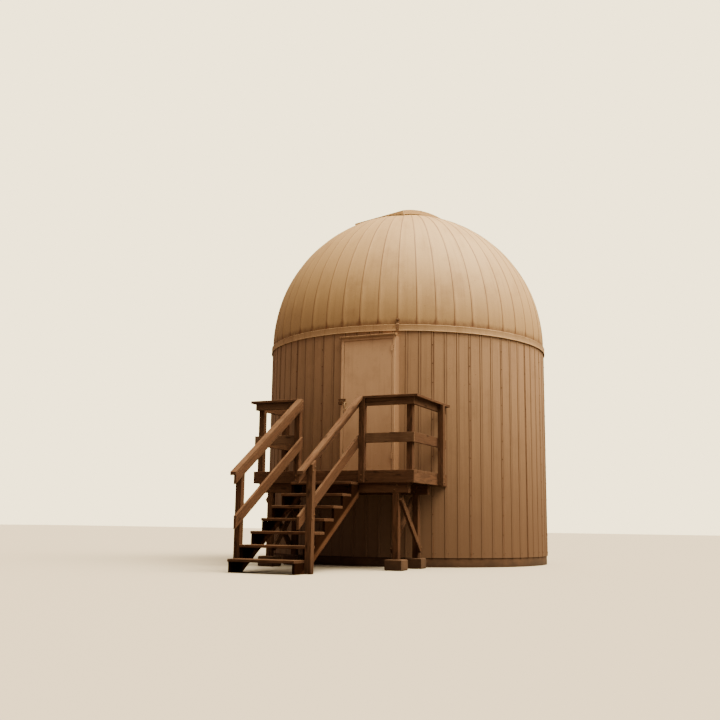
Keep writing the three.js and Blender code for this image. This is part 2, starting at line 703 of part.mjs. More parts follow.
// Stair guards: a lower post outside each stringer, a top board with a flat cap, and a middle rail.
// Their heads lie beside the deck's stair posts, and the caps meet the cap of the deck's guard.
const CAP_FRONT = DECK_FRONT - CAP_OUT_FRONT;
const GUARD_SLOPE = Math.atan2(GUARD_TOP - CAP_FOOT_TOP, CAP_FRONT - CAP_FOOT);
const BOARD_HEAD = DECK_FRONT - 5;
const BOARD_FOOT = CAP_FOOT + 12;
const RAIL_FOOT = CAP_FOOT + 40;
const MID_DROP = 588;
const CAP_SETBACK = 12;
const capLine = (y) => GUARD_TOP + (y - CAP_FRONT) * Math.tan(GUARD_SLOPE);

// A board along the slope, its top edge a drop below the cap's, cut plumb at both ends.
function slopedBoard([left, right], drop, depth, foot, head) {
  const top = (y) => capLine(y) - drop;
  const outline = [
    [foot, top(foot)],
    [foot, top(foot) - plumb(depth, GUARD_SLOPE)],
    [head, top(head) - plumb(depth, GUARD_SLOPE)],
    [head, top(head)],
  ];
  return sideways(outline, left, right);
}

const stairGuards = {
  left: {
    boards: [STAIR_LEFT - SEATED, STAIR_LEFT + BOARD],
    post: STAIR_LEFT - GAP - POST,
    cap: STAIR_LEFT + BOARD - CAP_WIDTH,
  },
  right: {
    boards: [STAIR_RIGHT - BOARD, STAIR_RIGHT + SEATED],
    post: STAIR_RIGHT + GAP,
    cap: STAIR_RIGHT - BOARD + CAP_SETBACK,
  },
};
const capHeight = plumb(BOARD, GUARD_SLOPE);
for (const [side, { boards, post, cap }] of Object.entries(stairGuards)) {
  const postTop = capLine(LOWER_POST_FRONT) - capHeight + SEATED;
  mesh(
    "stair_guard_" + side,
    joined([
      slopedBoard([cap, cap + CAP_WIDTH], 0, BOARD, CAP_FOOT, CAP_FRONT - GAP),
      slopedBoard(boards, capHeight - SEATED, TOP_BOARD, BOARD_FOOT, BOARD_HEAD),
      slopedBoard(boards, MID_DROP, WIDE, RAIL_FOOT, BOARD_HEAD),
      between([post, LOWER_POST_FRONT, 0], [post + POST, LOWER_POST_FRONT + POST, postTop]),
    ]),
    TIMBER,
  );
}

// Deck guards: stair posts notched over the front rim, posts inside the front corners and outside the
// side rims, boards in the plane of the rims, and flat caps that run back to the wall.
const SIDE_POST_FRONT = -2387;
const CAP_BOTTOM = GUARD_TOP - BOARD;
const WALL_CLEARANCE = 8;
const boardLevels = [
  [CAP_BOTTOM - TOP_BOARD, CAP_BOTTOM + SEATED],
  [MID_RAIL_TOP - WIDE, MID_RAIL_TOP],
];

// How far back a board between two X values may run before it meets the wall.
function wallReach(a, b) {
  return atX(WALL_RADIUS, Math.min(Math.abs(a), Math.abs(b))).y - WALL_CLEARANCE;
}

function deckGuard(rim, stairSide, outward) {
  const stairEdge = stairSide + outward * (SEATED + GAP);
  const stairPostFar = stairEdge + outward * POST;
  const inside = rim - outward * BOARD;
  const postOutside = rim + outward * POST;
  const capFar = rim + outward * CAP_OUT_SIDE;
  const capNear = capFar - outward * CAP_WIDTH;
  const frontBack = DECK_FRONT + BOARD;
  const postTop = CAP_BOTTOM + SEATED;
  const overDeck = DECK_TOP + GAP;
  const sidePostBack = SIDE_POST_FRONT + POST;
  const cornerFront = frontBack - SEATED;
  const frontBoards = boardLevels.map(([low, high]) =>
    between([stairEdge, DECK_FRONT, low], [rim, frontBack, high]),
  );
  const sideBoards = boardLevels.map(([low, high]) =>
    between([inside, DECK_FRONT, low], [rim, wallReach(inside, rim), high]),
  );
  const caps = [
    between([stairEdge, CAP_FRONT, CAP_BOTTOM], [capFar, CAP_FRONT + CAP_WIDTH, GUARD_TOP]),
    between([capNear, CAP_FRONT, CAP_BOTTOM], [capFar, wallReach(capNear, capFar), GUARD_TOP]),
  ];
  const stairPost = [
    between([stairEdge, CAP_FRONT, JOIST_BOTTOM], [stairPostFar, DECK_FRONT - GAP, postTop]),
    between([stairEdge, CAP_FRONT, overDeck], [stairPostFar, CAP_FRONT + POST, postTop]),
  ];
  const cornerPost = between(
    [inside + outward * SEATED, cornerFront, overDeck],
    [inside - outward * POST, cornerFront + POST, CAP_BOTTOM - SEATED],
  );
  const sidePost = [
    between([rim + outward * GAP, SIDE_POST_FRONT, JOIST_BOTTOM], [postOutside, sidePostBack, postTop]),
    between([rim - outward * SEATED, SIDE_POST_FRONT, overDeck], [postOutside, sidePostBack, postTop]),
  ];
  return joined([...frontBoards, ...sideBoards, ...caps, ...stairPost, cornerPost, ...sidePost]);
}

mesh("deck_guard_left", deckGuard(DECK_LEFT, STAIR_LEFT, -1), TIMBER);
mesh("deck_guard_right", deckGuard(DECK_RIGHT, STAIR_RIGHT, 1), TIMBER);

export default observatory;
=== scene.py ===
import json
import math
import random

import bmesh
import bpy
from mathutils import Matrix, Vector


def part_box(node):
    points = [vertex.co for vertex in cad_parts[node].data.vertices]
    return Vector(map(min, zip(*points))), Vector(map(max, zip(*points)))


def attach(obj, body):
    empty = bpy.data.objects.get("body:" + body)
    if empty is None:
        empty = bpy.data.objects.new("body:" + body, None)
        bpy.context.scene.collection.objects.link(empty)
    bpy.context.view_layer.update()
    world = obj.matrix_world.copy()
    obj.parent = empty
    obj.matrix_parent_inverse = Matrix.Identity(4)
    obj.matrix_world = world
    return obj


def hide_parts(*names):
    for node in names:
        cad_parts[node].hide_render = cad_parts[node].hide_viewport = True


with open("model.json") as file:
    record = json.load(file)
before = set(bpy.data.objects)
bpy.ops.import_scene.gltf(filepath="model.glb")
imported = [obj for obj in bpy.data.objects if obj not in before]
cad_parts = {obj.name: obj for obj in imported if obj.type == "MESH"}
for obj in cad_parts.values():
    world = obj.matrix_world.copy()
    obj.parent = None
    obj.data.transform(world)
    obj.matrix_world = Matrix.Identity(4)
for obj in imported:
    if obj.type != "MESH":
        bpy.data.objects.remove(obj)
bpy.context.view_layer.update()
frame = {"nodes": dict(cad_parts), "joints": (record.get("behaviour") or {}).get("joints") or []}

# The foundation is a concrete ring, cast in a round form of narrow sheets and standing a hand above
# the ground. The form's joints show as faint upright lines, and its top edge was eased with a trowel.
spin = next(joint for joint in frame["joints"] if joint["name"] == "dome_spin")
axis = Vector((spin["pos_m"][0], spin["pos_m"][1], 0))


def own_box(name):
    """The lowest and highest corners of a CAD node, counted from the building's axis at ground level."""
    low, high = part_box(name)
    return low - axis, high - axis


def around(radius, turn, height):
    """A point at that radius and height. A turn is in degrees from the front towards the right."""
    return Vector((radius * math.sin(math.radians(turn)), -radius * math.cos(math.radians(turn)), height))


def skin(shape, rows, ring=False):
    """Joins rows of vertices, each a closed outline, into one closed body."""
    pairs = list(zip(rows, rows[1:]))
    if ring:
        pairs.append((rows[-1], rows[0]))
    else:
        shape.faces.new(rows[0])
        shape.faces.new(list(reversed(rows[-1])))
    for here, there in pairs:
        for place in range(len(here)):
            following = (place + 1) % len(here)
            shape.faces.new((here[following], here[place], there[place], there[following]))


def turned(shape, profile, steps=150, wobble=0.0, dice=None):
    """A closed ring whose profile is a list of (radius, height) points."""
    rows = []
    for step in range(steps):
        off = dice.uniform(-wobble, wobble) if dice else 0
        spots = [around(radius + off, 360 * step / steps, height) for radius, height in profile]
        rows.append([shape.verts.new(spot) for spot in spots])
    skin(shape, rows, ring=True)


def piece(name, shape, body, finish, replaces=(), crease=32):
    """Makes an object of a shape about the building's axis, with a body and a finish."""
    bmesh.ops.recalc_face_normals(shape, faces=shape.faces)
    mesh = bpy.data.meshes.new(name)
    shape.to_mesh(mesh)
    shape.free()
    mesh.shade_smooth()
    mesh.set_sharp_from_angle(angle=math.radians(crease))
    mesh.materials.append(finish)
    made = bpy.data.objects.new(name, mesh)
    made.location = axis
    bpy.context.scene.collection.objects.link(made)
    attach(made, body)
    if replaces:
        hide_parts(*replaces)


class Layer:
    """A number, a colour or a direction that changes over a surface. Sums on layers make new layers."""

    def __init__(self, socket):
        self.socket = socket
        self.tree = socket.id_data

    def sum(self, operation, *others):
        """The result of one sum with other layers or numbers."""
        return node(self.tree, "Math", dict(enumerate((self, *others))), operation=operation)[0]

    def __add__(self, other):
        return self.sum("ADD", other)

    def __sub__(self, other):
        return self.sum("SUBTRACT", other)

    def __mul__(self, other):
        return self.sum("MULTIPLY", other)

    def __truediv__(self, other):
        return self.sum("DIVIDE", other)

    def __abs__(self):
        return self.sum("ABSOLUTE")

    def parts(self):
        """The three parts of a direction or of a place."""
        split = node(self.tree, "SeparateXYZ", {0: self})
        return split[0], split[1], split[2]


def feed(socket, value):
    """Links a layer to a node's socket, or sets the socket's own value."""
    if isinstance(value, Layer):
        socket.id_data.links.new(value.socket, socket)
    elif socket.type == "RGBA":
        socket.default_value = (*value, 1)
    else:
        socket.default_value = value


def node(tree, kind, inputs=None, **settings):
    """Adds a shader node with its settings and inputs, and gives its outputs by place and by name."""
    made = tree.nodes.new("ShaderNode" + kind)
    for name, value in settings.items():
        setattr(made, name, value)
    for name, value in (inputs or {}).items():
        feed(made.inputs[name], value)
    outputs = {}
    for place, output in enumerate(made.outputs):
        outputs[place] = Layer(output)
        outputs.setdefault(output.name, outputs[place])
    return outputs


def eased(value, start, end, low=0.0, high=1.0):
    """A number that goes smoothly from low to high while value goes from start to end."""
    sizes = {"Value": value, "From Min": start, "From Max": end, "To Min": low, "To Max": high}
    return node(value.tree, "MapRange", sizes, interpolation_type="SMOOTHSTEP")["Result"]


def mixed(share, first, second, how="MIX"):
    """Two colours mixed."""
    tree = next(value.tree for value in (share, first, second) if isinstance(value, Layer))
    return node(tree, "Mix", {0: share, 6: first, 7: second}, data_type="RGBA", blend_type=how)[2]


def noise(place, scale, detail=4.0, roughness=0.55):
    """Cloudy noise between 0 and 1. A scale of three numbers draws the clouds out."""
    if isinstance(scale, tuple):
        place, scale = node(place.tree, "VectorMath", {0: place, 1: scale}, operation="MULTIPLY")[0], 1.0
    sizes = {"Vector": place, "Scale": scale, "Detail": detail, "Roughness": roughness}
    return node(place.tree, "TexNoise", sizes)[0]


def relief(height, distance, strength=1.0):
    """A normal that shows the height, given in shares of distance."""
    return node(height.tree, "Bump", {"Height": height, "Distance": distance, "Strength": strength})[0]


def material(name, metallic=0.0, roughness=0.6):
    """A new material, with the sockets of its surface and its object's own coordinates in metres."""
    made = bpy.data.materials.new(name)
    made.use_nodes = True
    surface = made.node_tree.nodes["Principled BSDF"].inputs
    feed(surface["Metallic"], metallic)
    feed(surface["Roughness"], roughness)
    return made, surface, node(made.node_tree, "TexCoord")["Object"]


def dress(surface, colour, roughness=None, normal=None):
    """Gives a surface its colour, and its roughness and its relief where they vary."""
    for name, value in (("Base Color", colour), ("Roughness", roughness), ("Normal", normal)):
        if value is not None:
            feed(surface[name], value)


concrete, surface, place = material("concrete", roughness=0.92)
pale, grey, damp = (0.085, 0.042, 0.024), (0.048, 0.022, 0.012), (0.022, 0.01, 0.006)
damp_start, damp_end = 0.03, 0.16
clouds, grit = noise(place, 3.2, 6), noise(place, 95, 3)
pits = eased(node(place.tree, "TexVoronoi", {"Vector": place, "Scale": 34.0})["Distance"], 0.05, 0.16)
colour = mixed(eased(clouds, 0.34, 0.66), grey, pale)
colour = mixed(eased(grit, 0.3, 0.75, 0.0, 0.35), colour, damp)
foot = place.parts()[2] + clouds * 0.1
colour = mixed(eased(foot, damp_start, damp_end, 0.55, 0.0), colour, damp)
dress(surface, colour, normal=relief(pits * 0.6 + grit, 0.003, 0.8))

ring_high = own_box("foundation_ring")[1]
outer, top, ring_width, trowelled = ring_high.x, ring_high.z, 0.2, 0.009
inner = outer - ring_width
profile = [(inner, 0), (outer, 0), (outer, top - trowelled), (outer - trowelled * 0.4, top - trowelled * 0.3)]
profile += [(outer - trowelled, top), (inner + trowelled, top), (inner, top - trowelled)]
shape = bmesh.new()
turned(shape, profile, wobble=0.0012, dice=random.Random(3))
piece("foundation_wall", shape, "building", concrete, ["foundation_ring"])

# The wall is clad in steel sheets, roll-formed with a rib every eight inches and painted cream. Each
# sheet covers three ribs and laps over the next one on a rib, where screws hold it to the girts.
rib_first, rib_pitch, rib_count, ribs_a_sheet = 21.3, 4.8, 75, 3
rib_height, rib_top_half, rib_foot_half = 0.006, 0.0145, 0.0205
lap_edge, lap_step, lap_rise = 0.008, 0.0006, 0.0013
sheet_wave = 0.0007
siding_inner = 2.337
siding_low, siding_high = own_box("wall_panel_2")
wall_radius, wall_top = siding_high.x, siding_high.z
pan_radius = wall_radius - rib_height
metre_turn = math.degrees(1 / wall_radius)


def shader_group(name, takes, gives):
    """A new shader node group, with the layers that it takes and the sockets that it gives."""
    group = bpy.data.node_groups.new(name, "ShaderNodeTree")
    for way, sockets in (("INPUT", takes), ("OUTPUT", gives)):
        for label, kind in sockets.items():
            group.interface.new_socket(name=label, in_out=way, socket_type="NodeSocket" + kind)
    start, end = group.nodes.new("NodeGroupInput"), group.nodes.new("NodeGroupOutput")
    return group, {label: Layer(start.outputs[label]) for label in takes}, end.inputs


def placed(group, **values):
    """Places a node group in the tree that its place comes from, with values of its own."""
    return node(values["Place"].tree, "Group", values, node_tree=group)


# The paint on wall, dome and door is a thin enamel on galvanised sheet, and it weathers alike on all:
# dirt runs down it in streaks, it wears thin in patches, and fine specks of rust come through.
takes = {"Place": "Vector", "Paint": "Color", "Dirt": "Color"}
takes.update({"Streaks": "Float", "Patches": "Float", "Specks": "Float"})
gives = {"Color": "Color", "Roughness": "Float", "Height": "Float"}
painted_sheet, take, give = shader_group("painted_sheet", takes, gives)
runs = eased(noise(take["Place"], (17, 17, 0.7), 5, 0.6), 0.48, 0.78) * take["Streaks"]
patches = eased(noise(take["Place"], 2.3, 7, 0.62), 0.46, 0.74) * take["Patches"]
fine = noise(take["Place"], 70, 3)
cells = node(painted_sheet, "TexVoronoi", {"Vector": take["Place"], "Scale": 21.0})
chance, fewest = node(painted_sheet, "SeparateColor", {0: cells["Color"]})[0], 0.8
specks = eased(cells["Distance"] - eased(chance, fewest, 1.0, 0.0, 0.16), 0.0, 0.04, 1.0, 0.0)
specks = specks * chance.sum("GREATER_THAN", fewest) * take["Specks"]
dirt = node(painted_sheet, "Clamp", {0: (runs + patches).sum("MAXIMUM", specks)})[0]
tone = eased(fine, 0.25, 0.75, 0.94, 1.06)
tone = node(painted_sheet, "CombineColor", {0: tone, 1: tone, 2: tone})[0]
feed(give["Color"], mixed(dirt, mixed(1.0, take["Paint"], tone, "MULTIPLY"), take["Dirt"]))
feed(give["Roughness"], dirt * 0.3 + 0.56)
feed(give["Height"], fine * 0.3 + patches)

# Ribs and seams stand in even rows round the building. For each spot this finds how far it is sideways
# from the nearest of a row, and a place whose grain stays upright all the way round.
takes = {"Place": "Vector", "First": "Float", "Pitch": "Float", "Radius": "Float"}
gives = {"Upright": "Vector", "Sideways": "Float", "Height": "Float"}
round_place, take, give = shader_group("round_place", takes, gives)
x, y, z = take["Place"].parts()
turn = x.sum("ARCTAN2", y * -1)
upright = {0: turn.sum("SINE") * take["Radius"], 1: turn.sum("COSINE") * take["Radius"], 2: z}
feed(give["Upright"], node(round_place, "CombineXYZ", upright)[0])
past = turn * math.degrees(1) - take["First"]
nearest = (past / take["Pitch"] + 0.5).sum("FLOOR") * take["Pitch"]
feed(give["Sideways"], (past - nearest) * math.radians(1) * take["Radius"])
feed(give["Height"], z)

siding_paint, surface, place = material("siding_paint", roughness=0.5)
cream, grime_and_shade, rust = (0.385, 0.252, 0.17), (0.112, 0.061, 0.037), (0.09, 0.036, 0.016)
lap_first, lap_pitch = rib_first + 2 * rib_pitch, ribs_a_sheet * rib_pitch
ribs = placed(round_place, Place=place, First=rib_first, Pitch=rib_pitch, Radius=wall_radius)
laps = placed(round_place, Place=place, First=lap_first, Pitch=lap_pitch, Radius=wall_radius)
upright = ribs["Upright"]
weather = placed(painted_sheet, Place=upright, Paint=cream, Dirt=grime_and_shade, Streaks=0.3, Patches=0.22, Specks=0.5)
worn = noise(upright, (30, 30, 1.6), 5, 0.6)
# A thin dark line is painted along both folds of every rib: painted crease shade with some dirt, widened on
# each rib's right side.
sideways, right_of_rib = abs(ribs["Sideways"]), eased(ribs["Sideways"], -0.002, 0.002)
fold = abs(sideways - (rib_top_half + rib_foot_half) / 2) - right_of_rib * 0.006
fold_shade_and_dirt = eased(fold, 0.003, 0.008, 1, 0) * eased(worn, 0.3, 0.7, 0.5, 0.95)
rib_dirt = eased(sideways, rib_top_half, rib_foot_half, 0.08, 0.0)
lap_dirt = eased(abs(laps["Sideways"] - lap_edge), 0.003, 0.013, 1, 0) * eased(worn, 0.36, 0.62, 0.25, 1.0)
# The wall darkens towards the bottom: partly dirt, partly painted shade.
colour = mixed(eased(ribs["Height"] + worn * 0.9, 0.4, 5.0, 0.95, 0.0), weather["Color"], grime_and_shade)
colour = mixed(fold_shade_and_dirt.sum("MAXIMUM", rib_dirt), colour, grime_and_shade)
colour = mixed(lap_dirt, colour, rust)
dress(surface, colour, weather["Roughness"], relief(weather["Height"], 0.0012, 0.5))


def rib_points():
    """Every fold of the sheets once round the wall, as (turn, radius)."""
    points = []
    for rib in range(rib_count):
        middle = rib_first + rib * rib_pitch
        lapped = rib % ribs_a_sheet == 2
        over = lap_rise if lapped else 0
        folds = [(-rib_foot_half, pan_radius + over), (-rib_top_half, wall_radius + over)]
        if lapped:
            folds += [(lap_edge - lap_step, wall_radius + over), (lap_edge, wall_radius)]
        folds += [(rib_top_half, wall_radius), (rib_foot_half, pan_radius)]
        points += [(middle + off * metre_turn, radius) for off, radius in folds]
    return points


def side_turn(side, radius):
    """The turn of a stretch's side at a radius. The side stands at a turn, or at an X beside the door."""
    kind, place = side
    return place if kind == "turn" else math.degrees(math.asin(place / radius))


def siding(name, replaced, left, right, dice, levels=7):
    """A stretch of the ribbed wall between two sides, as one closed body in the place of a CAD node."""
    low, high = own_box(replaced)
    start = side_turn(left, pan_radius)
    span = (side_turn(right, pan_radius) - start) % 360
    folds = [((turn - start) % 360, radius) for turn, radius in rib_points()]
    folds = [(0, pan_radius)] + sorted(fold for fold in folds if 0.05 < fold[0] < span - 0.05)
    folds.append((span, pan_radius))
    inner_start = side_turn(left, siding_inner)
    inner_span = (side_turn(right, siding_inner) - inner_start) % 360
    rows = []
    shape = bmesh.new()
    for turn, radius in folds:
        spots = []
        for level in range(levels + 1):
            wave = dice.uniform(-sheet_wave, sheet_wave) if 0 < level < levels else 0
            spots.append(around(radius + wave, start + turn, low.z + (high.z - low.z) * level / levels))
        inner_turn = inner_start + inner_span * turn / span
        spots += [around(siding_inner, inner_turn, height) for height in (high.z, low.z)]
        rows.append([shape.verts.new(spot) for spot in spots])
    skin(shape, rows)
    piece(name, shape, "building", siding_paint, [replaced], crease=12)


panel_ribs = (0, 11, 23, 35, 47, 58)
door_left, door_right = (corner.x for corner in own_box("wall_over_door"))
sides = [("turn", rib_first + rib * rib_pitch) for rib in panel_ribs]
sides = [("x", door_right), *sides[1:], ("x", door_left)]
dice = random.Random(11)
for number in range(6):
    siding(f"siding_{number + 1}", f"wall_panel_{number + 1}", sides[number], sides[number + 1], dice)
for part in ("under_door", "over_door"):
    siding(f"siding_{part}", f"wall_{part}", ("x", door_left), ("x", door_right), dice, levels=2)

# The sheets' screws have hex heads over washers, in a row down every lap and one beside each rib at the
# foot. They are zinc plated steel. Those in the laps have rusted, and the foot row was painted over.
screw_spacing, screw_margin, screw_stray = 0.29, 0.06, 0.012
screw_head, screw_washer = (0.005, 0.0045), (0.0095, 0.0018)
screw_sway, door_clear, foot_row, beside_rib = 0.06, 0.05, 0.075, 0.045


def spindle(shape, start, direction, profile, sides=16):
    """A round body about a line; its profile is a list of (distance along the line, radius)."""
    direction = direction.normalized()
    side = direction.orthogonal().normalized()
    up = direction.cross(side)
    rows = []
    for along, radius in profile:
        turns = [2 * math.pi * step / sides for step in range(sides)]
        spots = [start + direction * along + (side * math.cos(t) + up * math.sin(t)) * radius for t in turns]
        rows.append([shape.verts.new(spot) for spot in spots])
    skin(shape, rows)


def button(shape, middle, outward, radius, height, sides=8):
    """A low round head, such as a screw's, a rivet's or a bolt's, on a face that looks outward."""
    profile = [(-height, radius), (height * 0.45, radius), (height, radius * 0.6)]
    spindle(shape, middle, outward, profile, sides)


def hex_head(shape, middle, outward, head, washer, washer_sides=10):
    """A hex head on its washer."""
    button(shape, middle, outward, *washer, sides=washer_sides)
    button(shape, middle + outward * washer[1], outward, *head, sides=6)


rusty_iron, surface, place = material("rusty_iron", metallic=0.25, roughness=0.8)
flakes = noise(place, 42, 6, 0.65)
colour = mixed(eased(flakes, 0.35, 0.65), (0.045, 0.024, 0.014), (0.15, 0.07, 0.032))
dress(surface, colour, eased(flakes, 0.3, 0.7, 0.6, 0.95), relief(flakes, 0.0008, 0.8))

shape, foot_shape = bmesh.new(), bmesh.new()
dice = random.Random(5)
for rib in range(rib_count):
    turn = rib_first + rib * rib_pitch
    spot = around(wall_radius, turn, 0)
    at_door = spot.y < 0 and door_left - door_clear < spot.x < door_right + door_clear
    level = siding_low.z + screw_margin
    while rib % ribs_a_sheet == 2 and not at_door and level < wall_top - door_clear:
        height = level + dice.uniform(-screw_stray, screw_stray)
        middle = around(wall_radius + lap_rise, turn + dice.uniform(-screw_sway, screw_sway), height)
        hex_head(shape, middle, around(1, turn, 0), screw_head, screw_washer)
        level += screw_spacing
    turn += beside_rib * metre_turn
    middle = around(pan_radius, turn, siding_low.z + foot_row)
    hex_head(foot_shape, middle, around(1, turn, 0), screw_head, screw_washer)
piece("siding_screws", shape, "building", rusty_iron)
piece("foot_screws", foot_shape, "building", siding_paint)

# Inside, the wall is lined with plywood sheets bent round the frame, butted with a narrow gap and
# painted a dull cream. The ledge that carries the floor is painted with them.
lining_sheets, lining_gap_turn, lining_thick, lining_radius = 12, 0.06, 0.006, 2.3305
floor_low, floor_high = own_box("interior_floor")

lining_paint, surface, place = material("lining_paint", roughness=0.7)
ply = noise(place, (9, 9, 1.1), 6, 0.6)
colour = mixed(eased(ply, 0.3, 0.7), (0.36, 0.27, 0.18), (0.46, 0.36, 0.25))
colour = mixed(eased(noise(place, 1.4, 5), 0.55, 0.75, 0, 0.45), colour, (0.2, 0.13, 0.075))
dress(surface, colour, normal=relief(ply, 0.0008, 0.4))


def curved_board(shape, start, end, inner, outer, bottom, top, steps=12):
    """A piece of a ring between two turns, two radii and two heights."""
    rows = []
    for step in range(steps + 1):
        turn = start + (end - start) * step / steps
        corners = ((inner, bottom), (outer, bottom), (outer, top), (inner, top))
        rows.append([shape.verts.new(around(radius, turn, height)) for radius, height in corners])
    skin(shape, rows)


shape = bmesh.new()
first = side_turn(("x", door_right), lining_radius) + lining_gap_turn
width = (360 + side_turn(("x", door_left), lining_radius) - lining_gap_turn - first) / lining_sheets
for sheet in range(lining_sheets):
    start = first + width * sheet + lining_gap_turn / 2
    end = first + width * (sheet + 1) - lining_gap_turn / 2
    curved_board(shape, start, end, lining_radius, lining_radius + lining_thick, floor_high.z, wall_top)
piece("wall_lining", shape, "building", lining_paint)
frame["nodes"]["floor_ledger"].data.materials.clear()
frame["nodes"]["floor_ledger"].data.materials.append(lining_paint)

# The floor inside is plywood, four foot by eight, cut round to the wall and screwed to the ledge. The
# sheets lie in rows with their end joints staggered by half a sheet.
ply_wide, ply_long, ply_gap, ply_margin = 1.22, 2.44, 0.003, 0.002
floor_radius = floor_high.x - 0.001
upward, rightward = Vector((0, 0, 1)), Vector((1, 0, 0))
X, Y, Z = range(3)


def flat(points, axis_number, place):
    """A flat outline: points of two numbers, all at one place along the axis of that number."""
    return [Vector((*point[:axis_number], place, *point[axis_number:])) for point in points]


def slab(shape, corners, through, ease):
    """A flat outline of corners carried along a vector, with its rims eased. Returns its vertices."""
    facing = through.normalized()
    area = sum((corners[i - 1].cross(corners[i]) for i in range(len(corners))), Vector())
    if area.dot(facing) < 0:
        corners = corners[::-1]
    inset = []
    for i, here in enumerate(corners):
        into = (here - corners[i - 1]).normalized()
        out = (corners[(i + 1) % len(corners)] - here).normalized()
        first, second = facing.cross(into), facing.cross(out)
        inset.append(here + (first + second) * ease / max(0.3, 1 + first.dot(second)))
    layers = ((0, inset), (ease, corners), (through.length - ease, corners), (through.length, inset))
    rows = [[shape.verts.new(point + facing * depth) for point in points] for depth, points in layers]
    skin(shape, rows)
    return [vert for row in rows for vert in row]


def lumber():
    """A shape whose vertices also hold their place along the grain, and how pale their board is."""
    shape = bmesh.new()
    shape.verts.layers.float_vector.new("grain")
    shape.verts.layers.float.new("pale")
    return shape


def timber(shape, corners, through, along, dice, pale=0.3, ease=0.003):
    """A piece of timber: a flat outline carried through its thickness, with its grain in one direction."""
    grain = shape.verts.layers.float_vector["grain"]
    paleness = shape.verts.layers.float["pale"]
    shift = Vector((dice.uniform(0, 50), dice.uniform(0, 50), dice.uniform(0, 50)))
    facing, along = through.normalized(), along.normalized()
    across = facing.cross(along)
    start = corners[0].copy()
    shade = min(1, max(0, pale + dice.uniform(-0.1, 0.1)))
    for vert in slab(shape, corners, through, ease):
        local = vert.co - start
        vert[grain] = Vector((local.dot(along), local.dot(across), local.dot(facing))) + shift
        vert[paleness] = shade


# Sawn timber and plywood have fibres along them, wide and narrow rings, knots and drying cracks. The
# grain follows each board, because its vertices carry their place in the tree that it was sawn from.
gives = {"Fibre": "Float", "Rings": "Float", "Cracks": "Float", "Knots": "Float"}
sawn_grain, take, give = shader_group("sawn_grain", {"Place": "Vector"}, gives)
stretched = node(sawn_grain, "VectorMath", {0: take["Place"], 1: (2.6, 9, 9)}, operation="MULTIPLY")[0]
knots = node(sawn_grain, "TexVoronoi", {"Vector": stretched, "Scale": 1.0})["Distance"]
knots = eased(knots, 0.06, 0.2, 1, 0)
wander = take["Place"].parts()[1] + noise(take["Place"], (0.9, 5, 5), 3) * 0.09 + knots * 0.012
split = abs(noise(take["Place"], (1.6, 62, 62), 2, 0.5) - 0.5)
long_gap = noise(take["Place"], (0.9, 13, 13), 2)
feed(give["Fibre"], noise(take["Place"], (3.5, 160, 160), 6, 0.65))
feed(give["Rings"], (wander * 620).sum("SINE") * 0.5 + 0.5)
feed(give["Cracks"], eased(split, 0.004, 0.022, 1, 0) * eased(long_gap, 0.5, 0.62))
feed(give["Knots"], knots)

plywood, surface, place = material("plywood", roughness=0.8)
wood = placed(sawn_grain, Place=node(place.tree, "Attribute", attribute_name="grain")["Vector"])
colour = mixed(wood["Fibre"], (0.2, 0.13, 0.07), (0.34, 0.235, 0.135))
colour = mixed(eased(wood["Rings"], 0.2, 0.9, 0.0, 0.3), colour, (0.23, 0.14, 0.07))
colour = mixed(eased(noise(place, 2.5, 6), 0.45, 0.7, 0.0, 0.6), colour, (0.13, 0.085, 0.05))
dress(surface, colour, normal=relief(wood["Fibre"], 0.0006, 0.5))


def floor_sheet(left, right, front, back, steps=16, least=1e-4):
    """The outline of a floor sheet, cut to the floor's round edge."""
    rights, lefts = [], []
    for step in range(steps + 1):
        y = front + (back - front) * step / steps
        edge = math.sqrt(max(0, floor_radius**2 - y**2))
        rights.append((max(min(right, edge), least - edge), y))
        lefts.append((min(max(left, -edge), edge - least), y))
    return flat(rights + lefts[::-1], Z, floor_low.z)


shape = lumber()
dice = random.Random(8)
for row in range(math.ceil(2 * floor_radius / ply_wide)):
    front = -floor_radius + ply_margin + row * ply_wide
    back = min(front + ply_wide - ply_gap, floor_radius - ply_margin)
    for number in range(5):
        left = -2 * ply_long + ply_long * (number + row % 2 / 2)
        if -floor_radius - ply_long < left < floor_radius:
            outline = floor_sheet(left, left + ply_long - ply_gap, front, back)
            timber(shape, outline, upward * (floor_high.z - floor_low.z), rightward, dice, ease=0.0008)
piece("floor_sheets", shape, "building", plywood, ["interior_floor"])

# A steel plate on the wall's head carries ten rollers between cheeks, and the dome's base ring turns on
# them. Everything here is mill finish, dulled, with bolts through the plate.
ring_low, ring_high = own_box("wall_top_ring")
plate_inner, plate_outer, plate_top, plate_lip = 2.336, ring_high.x, 3.648, 0.004
roller_count, roller_radius, roller_track, roller_half = 10, 0.03, 2.395, 0.012
cheek_half, cheek_thick, cheek_off, cheek_clear = 0.02, 0.006, 0.017, 0.018
plate_bolts, plate_bolt_turn, plate_bolt_inset = (1, 2, 3), 9, 0.03

mill_steel, surface, place = material("mill_steel", metallic=0.7, roughness=0.5)
dull = noise(place, 7, 6)
colour = mixed(eased(dull, 0.35, 0.65), (0.16, 0.125, 0.095), (0.25, 0.2, 0.155))
colour = mixed(eased(noise(place, 23, 6, 0.7), 0.52, 0.72, 0, 0.8), colour, (0.13, 0.055, 0.024))
dress(surface, colour, eased(dull, 0.3, 0.7, 0.42, 0.68))

